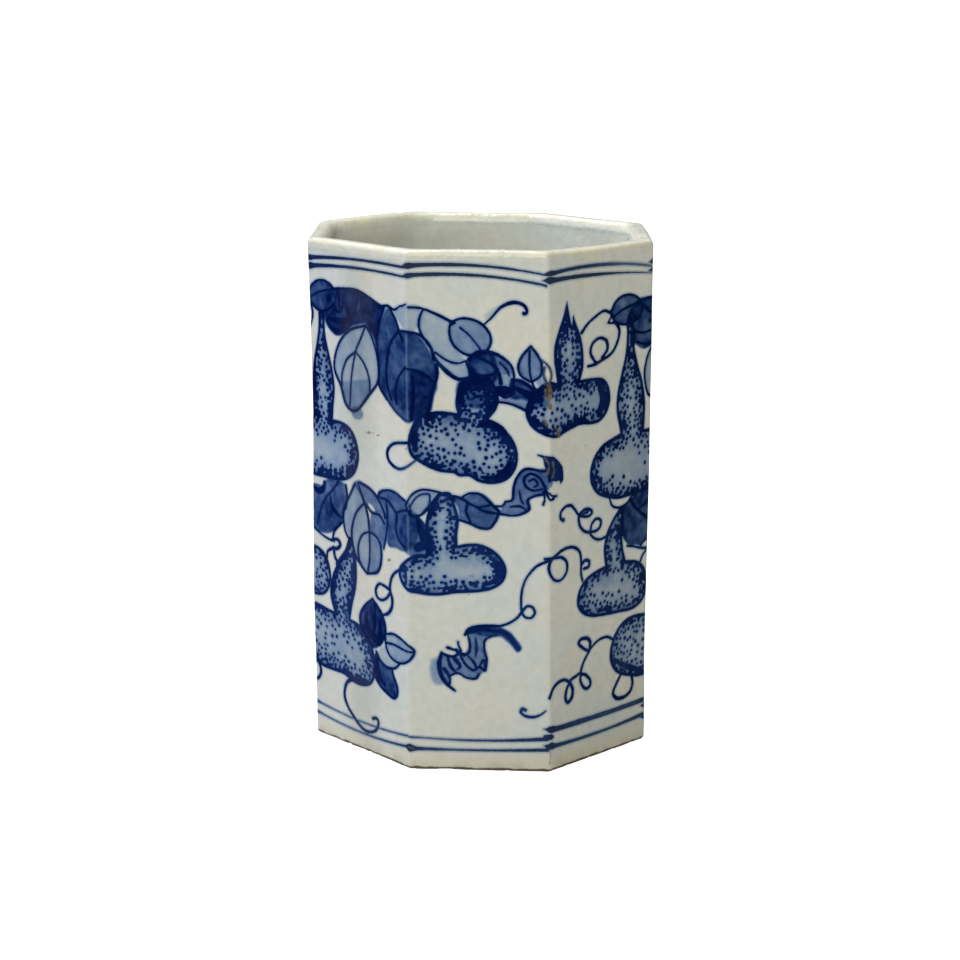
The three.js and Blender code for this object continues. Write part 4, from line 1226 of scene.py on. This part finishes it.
def add_wall(index, canvas):
    section = wall_section()
    flat, arc = widen(wall_flat, wall_arc)
    points = warp(chip(lay_out(section, flat, arc, index)))
    normals = normals_of(points)
    points = points[:, 1:-1]
    rows, columns = points.shape[:2]
    loop = np.arange(rows) * columns
    caps = [loop[None, :], (loop[::-1] + columns - 1)[None, :]]
    start = ((index + 1) % SIDES) * (columns - 1)
    fields = {}
    for field, values in canvas.layers().items():
        full = np.zeros((rows, columns))
        full[: len(wall_rows)] = values[:, start : start + columns]
        fields[field] = full
    fields["arris"] = np.broadcast_to(np.abs(wall_arc), (rows, columns)).copy()
    fields["arris"][len(wall_rows) :] = 0
    faces = [quads(rows, columns, True, False)] + caps
    name = visual(f"wall_slab_{SIDE_NAMES[index]}")
    return add_mesh(name, points.reshape(-1, 3), faces, normals, fields)


COIL_COLUMNS = 14
COIL_ROWS, COIL_TOP_ROWS = 40, 14
COIL_TAPER = 12.0  # how far down from a coil's top its rows are closer
COIL_NARROWING = 9.0  # and how far down it narrows towards the lip


def add_corner_coil(index):
    """The coil in the angle between a side and the next one, with its foot on the floor coil."""
    wall = INNER - CLEARANCE
    low, high = COIL_TOP + CLEARANCE, CORNER_TOP - 2 * SHOWN_GAP
    angles = np.linspace(-HALF_TURN, HALF_TURN, COIL_COLUMNS + 1)
    closing = np.linspace(0.1, 1, COIL_TOP_ROWS) * math.pi / 2
    body = np.linspace(low, high - COIL_TAPER, COIL_ROWS)
    rings = []
    for z in np.concatenate([body, high - COIL_TAPER * np.cos(closing)]):
        share = np.clip((z - (high - COIL_NARROWING)) / COIL_NARROWING, 0, 1)
        radius = FILLET + (COIL_TOP_CORNER - FILLET) * share * share
        centre = (wall - radius) / math.cos(HALF_TURN)
        face = [(centre + radius * math.cos(a), radius * math.sin(a)) for a in angles]
        heel = (wall - HIDDEN_CORNER) / math.cos(HALF_TURN)
        back_angles = angles[:: -COIL_COLUMNS // 2]
        back = [(heel + HIDDEN_CORNER * math.cos(a), HIDDEN_CORNER * math.sin(a)) for a in back_angles]
        rings.append([(x, y, z) for x, y in face + back])
    points = np.array(rings)
    turn = -math.pi / 2 + (2 * index + 1) * HALF_TURN
    c, s = math.cos(turn), math.sin(turn)
    x, y = points[..., 0].copy(), points[..., 1].copy()
    points[..., 0], points[..., 1] = c * x - s * y, s * x + c * y
    points = warp(points)
    rows, columns = points.shape[:2]
    faces = [quads(rows, columns, False, True)[:, ::-1]]
    ring = np.arange(columns)
    faces += [ring[None, :], ((rows - 1) * columns + ring[::-1])[None, :]]
    name = visual(f"corner_coil_{SIDE_NAMES[index]}_to_{SIDE_NAMES[(index + 1) % SIDES]}")
    piece = add_mesh(name, points.reshape(-1, 3), faces)
    sharpen(piece, 50)
    return piece


def add_ring(name, section, flat_count, arc_count, ends):
    """A piece that runs all round. With ends, its section is open and both its ends close on the axis."""
    flat, arc = columns_of(flat_count, arc_count)
    sides = [lay_out(section, flat[:-1], arc[:-1], index) for index in range(SIDES)]
    points = warp(np.concatenate(sides, axis=1))
    rows, columns = points.shape[:2]
    faces = [quads(rows, columns, not ends, True)]
    if ends:
        ring = np.arange(columns)
        last = (rows - 1) * columns
        around = np.roll(ring, -1)
        centres = [points[0].mean(axis=0), points[-1].mean(axis=0)]
        faces.append(np.stack([around, ring, np.full(columns, rows * columns)], axis=-1))
        faces.append(np.stack([last + ring, last + around, np.full(columns, rows * columns + 1)], axis=-1))
        points = np.vstack([points.reshape(-1, 3), centres])
    piece = add_mesh(name, points.reshape(-1, 3), faces)
    sharpen(piece, 50)
    return piece


def sharpen(piece, degrees):
    """Keeps the edges that turn by more than this crisp."""
    piece.data.set_sharp_from_angle(angle=math.radians(degrees))


TOE_CORNER = 8.0
COIL_REACH = COIL_TOP - FLOOR_TOP - 0.3  # how far the floor coil reaches in


def add_floor_coil():
    wall = INNER - CLEARANCE
    toe = wall - COIL_REACH
    low = FLOOR_TOP + CLEARANCE
    section = [(wall, HIDDEN_CORNER, z) for z in (low, (low + COIL_TOP) / 2, COIL_TOP)]
    for share in np.linspace(0, 1, 10):
        angle = share * math.pi / 2
        apothem = toe + COIL_REACH * math.cos(angle) - CLEARANCE * (1 - share)
        z = COIL_TOP - (COIL_TOP - low - 0.05) * math.sin(angle)
        section.append((apothem, FILLET + (TOE_CORNER - FILLET) * share, z))
    section.append((toe, TOE_CORNER, low))
    return add_ring(visual("floor_coil"), section, 20, 8, ends=False)


def add_floor_slab():
    edge = INNER - CLEARANCE
    low, high = FLOOR_BOTTOM, FLOOR_TOP
    section = [(d, low + 0.25 * (1 - d / edge) ** 2) for d in np.linspace(2, edge - 0.6, 22)]
    section += [(edge, low + 0.6), (edge, high - 0.6)]
    section += [(d, high - 0.35 * (1 - d / edge) ** 2) for d in np.linspace(edge - 0.5, 2, 24)]
    rows = [(d, min(0.3 * d, HIDDEN_CORNER + 0.2 * (edge - d)), z) for d, z in section]
    return add_ring(visual("floor_slab"), rows, 20, 6, ends=True)


# ---- Materials -----------------------------------------------------------------------------------


class Shader:
    """A material's node tree, with one short method for each kind of node."""

    def __init__(self, name):
        self.material = bpy.data.materials.new(name)
        self.material.use_nodes = True
        self.tree = self.material.node_tree
        self.tree.nodes.clear()
        self.surface = self.node("ShaderNodeBsdfPrincipled")
        output = self.node("ShaderNodeOutputMaterial")
        self.tree.links.new(self.surface.outputs["BSDF"], output.inputs["Surface"])
        position = self.node("ShaderNodeTexCoord").outputs["Object"]
        scaled = self.node("ShaderNodeVectorMath", operation="SCALE")
        self.link(position, scaled.inputs[0])
        scaled.inputs["Scale"].default_value = 1 / MM
        self.place = scaled.outputs[0]
        split = self.node("ShaderNodeSeparateXYZ")
        self.link(self.place, split.inputs[0])
        self.across, self.height = split.outputs["X"], split.outputs["Z"]
        squares = [self.math("POWER", split.outputs[axis], 2.0) for axis in "XY"]
        self.radius = self.math("SQRT", self.math("ADD", *squares))

    def node(self, kind, **settings):
        made = self.tree.nodes.new(kind)
        for key, value in settings.items():
            setattr(made, key, value)
        return made

    def link(self, value, socket):
        """Feeds a socket from another one, or sets it."""
        if isinstance(value, bpy.types.NodeSocket):
            self.tree.links.new(value, socket)
        elif isinstance(value, tuple) and len(value) == 3 and socket.type == "RGBA":
            socket.default_value = (*value, 1.0)
        else:
            socket.default_value = value

    def set(self, name, value):
        self.link(value, self.surface.inputs[name])

    def math(self, operation, first, second=0.0, clamp=False):
        made = self.node("ShaderNodeMath", operation=operation, use_clamp=clamp)
        self.link(first, made.inputs[0])
        self.link(second, made.inputs[1])
        return made.outputs[0]

    def field(self, name):
        """A value kept with the mesh's points; 0 where the mesh has none."""
        return self.node("ShaderNodeAttribute", attribute_name=name).outputs["Fac"]

    def noise(self, size, detail=2.0, roughness=0.5, stretch=(1.0, 1.0, 1.0), offset=0.0):
        """Noise from 0 to 1 with features of about this size, in millimetres."""
        mapping = self.node("ShaderNodeMapping")
        self.link(self.place, mapping.inputs["Vector"])
        mapping.inputs["Location"].default_value = (offset, offset, offset)
        mapping.inputs["Scale"].default_value = stretch
        made = self.node("ShaderNodeTexNoise")
        self.link(mapping.outputs[0], made.inputs["Vector"])
        made.inputs["Scale"].default_value = 1 / size
        made.inputs["Detail"].default_value = detail
        made.inputs["Roughness"].default_value = roughness
        return made.outputs["Fac"]

    def cells(self, size, offset=0.0):
        """Distance to the nearest of many scattered points that are about this far apart."""
        mapping = self.node("ShaderNodeMapping")
        self.link(self.place, mapping.inputs["Vector"])
        mapping.inputs["Location"].default_value = (offset, offset, offset)
        made = self.node("ShaderNodeTexVoronoi")
        self.link(mapping.outputs[0], made.inputs["Vector"])
        made.inputs["Scale"].default_value = 1 / size
        return self.math("MULTIPLY", made.outputs["Distance"], size)

    def between(self, value, low, high, start=0.0, end=1.0):
        """start below low, end above high, and a smooth change between them."""
        made = self.node("ShaderNodeMapRange", interpolation_type="SMOOTHSTEP")
        for socket, given in zip(made.inputs, (value, low, high, start, end)):
            self.link(given, socket)
        return made.outputs[0]

    def mix(self, share, first, second):
        """Between two colours."""
        made = self.node("ShaderNodeMix", data_type="RGBA")
        self.link(share, made.inputs[0])
        self.link(first, made.inputs[6])
        self.link(second, made.inputs[7])
        return made.outputs[2]

    def tint(self, first, second):
        """Two colours multiplied."""
        made = self.node("ShaderNodeMix", data_type="RGBA", blend_type="MULTIPLY")
        made.inputs[0].default_value = 1.0
        self.link(first, made.inputs[6])
        self.link(second, made.inputs[7])
        return made.outputs[2]

    def grey(self, value):
        """A number as a colour."""
        made = self.node("ShaderNodeCombineColor")
        for socket in made.inputs:
            self.link(value, socket)
        return made.outputs[0]

    def lerp(self, share, first, second):
        """Between two numbers."""
        made = self.node("ShaderNodeMix", data_type="FLOAT")
        self.link(share, made.inputs[0])
        self.link(first, made.inputs[2])
        self.link(second, made.inputs[3])
        return made.outputs[0]

    def ramp(self, value, stops):
        """A colour from (position, colour) stops."""
        made = self.node("ShaderNodeValToRGB")
        self.link(value, made.inputs[0])
        elements = made.color_ramp.elements
        while len(elements) < len(stops):
            elements.new(0.5)
        for element, (position, colour) in zip(elements, stops):
            element.position = position
            element.color = (*colour, 1.0)
        return made.outputs["Color"]

    def bump(self, height, distance, strength=1.0, under=None):
        """Relief of this height in millimetres, laid over the relief under it."""
        made = self.node("ShaderNodeBump")
        made.inputs["Strength"].default_value = strength
        made.inputs["Distance"].default_value = distance * MM
        self.link(height, made.inputs["Height"])
        if under is not None:
            self.link(under, made.inputs["Normal"])
        return made.outputs["Normal"]


GLAZE = (0.69, 0.69, 0.60)
GLAZE_COOL = (0.655, 0.68, 0.61)
GLAZE_WARM = (0.72, 0.685, 0.56)
THIN_GLAZE = (0.72, 0.687, 0.51)
CLAY = (0.60, 0.50, 0.36)
CLAY_STAIN = (0.36, 0.25, 0.14)
FOOT_STAIN = (0.48, 0.38, 0.22)
# painted shade: the darker glaze colour laid on the left of the inside, below the lip
PAINTED_SHADE_INSIDE = (0.36, 0.36, 0.275)
GLAZE_EDGE = (0.085, 0.06, 0.035)
SCORCH = (0.055, 0.035, 0.02)
IRON = (0.165, 0.135, 0.055)
INSIDE_SHINE = 0.42

# What the cobalt leaves of the light that the bare glaze would return, for its strength.
COBALT = (
    (0.0, (1.0, 1.0, 1.0)),
    (0.15, (0.576, 0.661, 0.809)),
    (0.25, (0.374, 0.5, 0.748)),
    (0.4, (0.206, 0.322, 0.606)),
    (0.55, (0.093, 0.171, 0.443)),
    (0.7, (0.034, 0.093, 0.31)),
    (0.85, (0.0076, 0.033, 0.194)),
    (1.0, (0.001, 0.009, 0.095)),
)


WARM_SHADE_COBALT = (1.25, 1.05, 0.72)  # painted shade: the cobalt made greyer and warmer on the right side, for the warmer light in its shade
SLATE = (0.032, 0.048, 0.066)  # the grey cobalt of the bounding lines


def glaze_colour(s):
    """Greyish white glaze: large warm and cool clouds, small mottling, and fine dark specks."""
    colour = s.mix(s.between(s.noise(34, 2), 0.42, 0.62), GLAZE, GLAZE_COOL)
    colour = s.mix(s.between(s.noise(21, 3, offset=70), 0.5, 0.72, 0, 0.8), colour, GLAZE_WARM)
    small = s.between(s.noise(2.6, 4, 0.6, offset=31), 0.3, 0.7, 0.955, 1.035)
    colour = s.tint(colour, s.grey(small))
    speck = s.between(s.cells(7.5, offset=13), 0.1, 0.34, 1, 0)
    speck = s.math("MULTIPLY", speck, s.between(s.noise(11, 1, offset=5), 0.52, 0.6))
    return s.mix(s.math("MULTIPLY", speck, 0.75), colour, IRON)


def inside_of(s):
    """1 on the inner faces and 0 on the outer ones."""
    return s.between(s.radius, 47.5, 49.5, 1, 0)


def glaze_with_painted_shade(s):
    """The glaze, with painted shade inside the pot: darker on its left side, from a little below the lip
    down, in clouds.
    """
    # painted shade: strongest at the left, none at the right, none in the top 2 mm under the lip
    shade_share = s.between(s.noise(13, 3, offset=18), 0.3, 0.7, 0.5, 1)
    shade_share = s.math("MULTIPLY", shade_share, s.between(s.across, -42, 30, 0.85, 0))
    shade_share = s.math("MULTIPLY", shade_share, s.between(s.height, HEIGHT - 9, HEIGHT - 2, 1, 0))
    return s.mix(s.math("MULTIPLY", shade_share, inside_of(s)), glaze_colour(s), PAINTED_SHADE_INSIDE)


def glaze_roughness(s):
    return s.between(s.noise(6, 3, offset=66), 0.3, 0.7, 0.13, 0.22)


def glaze_relief(s, depth):
    """Orange peel, with a slower unevenness under it."""
    slow = s.bump(s.noise(9, 1, offset=3), 0.5 * depth)
    return s.bump(s.noise(1.7, 2, offset=9), 0.11 * depth, under=slow)


def pinholes(s):
    holes = s.between(s.cells(6.2, offset=40), 0.08, 0.2, 1, 0)
    return s.math("MULTIPLY", holes, s.between(s.noise(15, 1, offset=22), 0.55, 0.62))


def bare_clay(s):
    """Unglazed clay: buff, stained and gritty."""
    colour = s.mix(s.between(s.noise(5, 4, 0.65, offset=50), 0.4, 0.7), CLAY, CLAY_STAIN)
    grit = s.between(s.noise(0.5, 2, offset=60), 0.35, 0.7, 0.85, 1.08)
    return s.tint(colour, s.grey(grit))


def painted_glaze():
    """The outside: cobalt painting under clear glaze, bare clay at the very foot."""
    s = Shader("painted_glaze")
    # the inner faces carry painted shade on their left
    glaze = glaze_with_painted_shade(s)
    lip = s.between(s.height, HEIGHT - 2.6, HEIGHT - 1.3)
    lip = s.math("MULTIPLY", lip, s.between(s.height, HEIGHT - 0.5, HEIGHT - 0.05, 1, 0.15))
    foot = s.between(s.height, 1.0, 9.0, 1.0, 0)
    thin = s.math("MAXIMUM", s.math("MAXIMUM", lip, foot), s.between(s.field("arris"), 0.25, 1.0, 0, 0.75))
    patchy = s.between(s.noise(4.2, 3, 0.6, stretch=(1, 1, 0.35), offset=80), 0.3, 0.68, 0.35, 1)
    glaze = s.mix(s.math("MULTIPLY", thin, patchy), glaze, THIN_GLAZE)

    fray = s.math("SUBTRACT", s.noise(0.8, 3, 0.6, offset=14), 0.5)
    edge = s.math("ADD", s.field("ink"), s.math("MULTIPLY", fray, 0.34))
    mark = s.between(edge, 0.86, 1.16)
    pooling = s.between(s.noise(1.6, 3, 0.6, offset=25), 0.3, 0.7, 0.9, 1.06)
    slow = s.between(s.noise(9, 2, offset=33), 0.3, 0.7, 0.93, 1.05)
    mark = s.math("MULTIPLY", mark, s.math("MULTIPLY", s.field("tone"), s.math("MULTIPLY", pooling, slow)))
    bleed = s.between(s.field("ink"), 0.15, 1.0, 0, 0.15)
    streak = s.between(s.noise(2.6, 3, 0.55, offset=44), 0.3, 0.7, 0.87, 1.1)
    # the wash is thinner on the arrises: partly thinned cobalt, partly a painted highlight along them
    streak = s.math("MULTIPLY", streak, s.between(s.field("arris"), 0.0, 1.0, 1, 0.72))
    wash = s.math("MULTIPLY", s.field("wash"), streak, clamp=True)
    kept = s.math("MULTIPLY", s.math("SUBTRACT", 1.0, mark), s.math("SUBTRACT", 1.0, wash))
    kept = s.math("MULTIPLY", kept, s.math("SUBTRACT", 1.0, bleed))
    cobalt = s.math("SUBTRACT", 1.0, kept, clamp=True)
    colour = s.tint(glaze, s.ramp(cobalt, COBALT))
    # painted shade: towards the right side the cobalt is tinted greyer and warmer
    shade_tint_share = s.math("MULTIPLY", cobalt, s.between(s.across, 22, 46, 0, 0.8))
    colour = s.mix(shade_tint_share, colour, s.tint(colour, WARM_SHADE_COBALT))
    bands = s.math("ADD", s.between(s.height, 12.5, 17, 0.6, 0), s.between(s.height, 141, 143.5, 0, 0.75))
    greyed = s.math("MULTIPLY", bands, s.between(s.across, -42, -15, 0.35, 1))
    colour = s.mix(s.math("MULTIPLY", cobalt, greyed), colour, SLATE)
    rust = s.math("MULTIPLY", s.field("rust"), s.between(s.noise(0.9, 2, offset=77), 0.3, 0.6, 0.4, 1))
    colour = s.mix(rust, colour, IRON)
    colour = s.mix(pinholes(s), colour, SCORCH)

    unevenness = s.math("SUBTRACT", s.noise(3.5, 3, offset=90), 0.5)
    ragged = s.math("ADD", s.height, s.math("MULTIPLY", unevenness, 1.2))
    stained = s.between(s.noise(5, 2, offset=61), 0.4, 0.62)
    stained = s.math("MULTIPLY", stained, s.between(ragged, 0.9, 4.5, 0.4, 0))
    colour = s.mix(stained, colour, FOOT_STAIN)
    glaze_end = s.between(ragged, 0.45, 0.6)
    colour = s.mix(glaze_end, bare_clay(s), colour)
    from_end = s.math("ABSOLUTE", s.math("SUBTRACT", ragged, 0.5))
    colour = s.mix(s.between(from_end, 0.35, 0.8, 0.9, 0), colour, GLAZE_EDGE)
    s.set("Base Color", colour)
    rough = s.math("ADD", glaze_roughness(s), s.math("MULTIPLY", cobalt, 0.08))
    s.set("Roughness", s.lerp(glaze_end, 0.85, rough))
    shine = s.lerp(s.math("MAXIMUM", lip, inside_of(s)), s.lerp(cobalt, 0.12, 0.0), INSIDE_SHINE)
    s.set("Specular IOR Level", s.lerp(glaze_end, 0.05, shine))
    runs = s.math("MULTIPLY", s.noise(2.4, 2, offset=52), s.between(s.height, HEIGHT - 4.0, HEIGHT - 2.5))
    heaped = s.bump(cobalt, 0.02, under=s.bump(runs, 0.35, under=glaze_relief(s, 1.0)))
    grit = s.math("MULTIPLY", s.math("SUBTRACT", 1.0, glaze_end), s.noise(0.6, 3))
    s.set("Normal", s.bump(grit, 0.15, under=heaped))
    return s.material


def clear_glaze():
    """The coils inside: the same glaze as on the walls beside them, with the same painted shade, without the
    cobalt painting.
    """
    s = Shader("clear_glaze")
    s.set("Base Color", glaze_with_painted_shade(s))
    s.set("Roughness", glaze_roughness(s))
    s.set("Specular IOR Level", INSIDE_SHINE)
    s.set("Normal", glaze_relief(s, 1.0))
    return s.material


def biscuit_clay():
    """The floor: glazed on top, bare and scraped underneath."""
    s = Shader("biscuit_clay")
    glazed = s.between(s.height, (FLOOR_BOTTOM + FLOOR_TOP) / 2, FLOOR_TOP - 1)
    scrape = s.noise(3.0, 3, 0.6, stretch=(1, 0.12, 1), offset=10)
    dusty = s.mix(s.between(scrape, 0.45, 0.7, 0, 0.5), bare_clay(s), CLAY_STAIN)
    # the glazed top carries the inside's painted shade too
    s.set("Base Color", s.mix(glazed, dusty, glaze_with_painted_shade(s)))
    s.set("Roughness", s.lerp(glazed, 0.9, 0.2))
    s.set("Specular IOR Level", s.lerp(glazed, 0.15, INSIDE_SHINE))
    relief = s.bump(scrape, 0.25, under=glaze_relief(s, 1.0))
    s.set("Normal", s.bump(s.noise(0.6, 3), 0.12, under=relief))
    return s.material


# ---- The pieces ----------------------------------------------------------------------------------


def dress(piece, material):
    """Gives a piece its material, hides the CAD node that it stands for, and attaches it to the root body.
    """
    piece.data.materials.append(material)
    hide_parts(piece.name.removesuffix(visual("")))
    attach(piece, "root")


def build_pot():
    canvas = Canvas(painting_columns(), wall_rows)
    paint(canvas)
    painted, clear, clay = painted_glaze(), clear_glaze(), biscuit_clay()
    for index in range(SIDES):
        dress(add_wall(index, canvas), painted)
        dress(add_corner_coil(index), clear)
    dress(add_floor_coil(), clear)
    dress(add_floor_slab(), clay)


# ---- Studio --------------------------------------------------------------------------------------

BOWL_FLAT, BOWL_RADIUS, BOWL_HEIGHT = 1.3, 2.2, 1.0


def add_floor():
    """A pale round sweep: flat in its middle and curving up all round."""
    count = 96
    rings = [(BOWL_FLAT * share, 0.0) for share in (0.08, 0.25, 0.5, 0.75, 1.0)]
    curved = BOWL_RADIUS - BOWL_FLAT
    for angle in np.linspace(0, math.pi / 2, 14)[1:]:
        rings.append((BOWL_FLAT + curved * math.sin(angle), BOWL_HEIGHT * (1 - math.cos(angle))))
    turn = np.arange(count) * 2 * math.pi / count
    points = [(r * math.cos(a) / MM, r * math.sin(a) / MM, h / MM) for r, h in rings for a in turn]
    points = np.array(points + [(0.0, 0.0, 0.0)])
    inner = np.arange(count)
    hub = np.stack([inner, np.roll(inner, -1), np.full(count, len(points) - 1)], axis=-1)
    floor = add_mesh("studio_floor", points, [quads(len(rings), count, False, True)[:, ::-1], hub])
    s = Shader("studio_floor")
    s.set("Base Color", s.grey(s.between(s.noise(160, 3), 0.3, 0.7, 0.42, 0.44)))
    s.set("Roughness", 0.9)
    s.set("Specular IOR Level", 0.1)
    s.set("Emission Color", (1.0, 1.0, 1.0))
    seen = s.node("ShaderNodeLightPath").outputs["Is Camera Ray"]
    s.set("Emission Strength", s.math("MULTIPLY", seen, FLOOR_GLOW))
    floor.data.materials.append(s.material)


def add_softbox(name, place, aim, width, height, watts, colour):
    light = bpy.data.lights.new(name, "AREA")
    light.color = colour
    light.shape = "RECTANGLE"
    light.size = width
    light.size_y = height
    light.energy = watts
    lamp = bpy.data.objects.new(name, light)
    lamp.location = place
    lamp.rotation_euler = (Vector(aim) - Vector(place)).to_track_quat("-Z", "Y").to_euler()
    bpy.context.scene.collection.objects.link(lamp)


FLOOR_GLOW = 1.0  # what the floor shows the camera on top of the light it returns, for a white ground
SKY = 0.13
SKY_COLOUR = (1.0, 0.985, 0.93, 1.0)

SOFTBOXES = (
    ("softbox_above", (-0.5, 0.4, 1.4), (0, 0, 0.1), 1.0, 1.0, 27.5, (1.0, 1.0, 0.98)),
    ("softbox_front", (-0.15, -1.35, 0.75), (0, 0, 0.08), 0.8, 1.0, 11.8, (1.0, 0.99, 0.95)),
    ("softbox_left", (-1.4, -0.25, 0.7), (0, 0, 0.08), 0.8, 1.0, 5.0, (0.15, 0.32, 0.92)),
)


def light_studio():
    world = bpy.data.worlds.new("studio")
    world.use_nodes = True
    background = world.node_tree.nodes["Background"]
    background.inputs["Color"].default_value = SKY_COLOUR
    background.inputs["Strength"].default_value = SKY
    scene = bpy.context.scene
    scene.world = world
    scene.view_settings.view_transform = "Standard"
    for softbox in SOFTBOXES:
        add_softbox(*softbox)


# The photo's camera, in metres.
CAMERA_PLACE = Vector((0.0, -0.5984, 0.2245))
CAMERA_AIM = Vector((0.0, 0.0, 0.0758))
LENS, SENSOR = 74.9, 36.0


def add_camera():
    data = bpy.data.cameras.new("camera")
    data.lens = LENS
    data.sensor_width = SENSOR
    camera = bpy.data.objects.new("camera", data)
    camera.location = CAMERA_PLACE
    camera.rotation_euler = (CAMERA_AIM - CAMERA_PLACE).to_track_quat("-Z", "Y").to_euler()
    bpy.context.scene.collection.objects.link(camera)
    bpy.context.scene.camera = camera


build_pot()
add_floor()
light_studio()
add_camera()
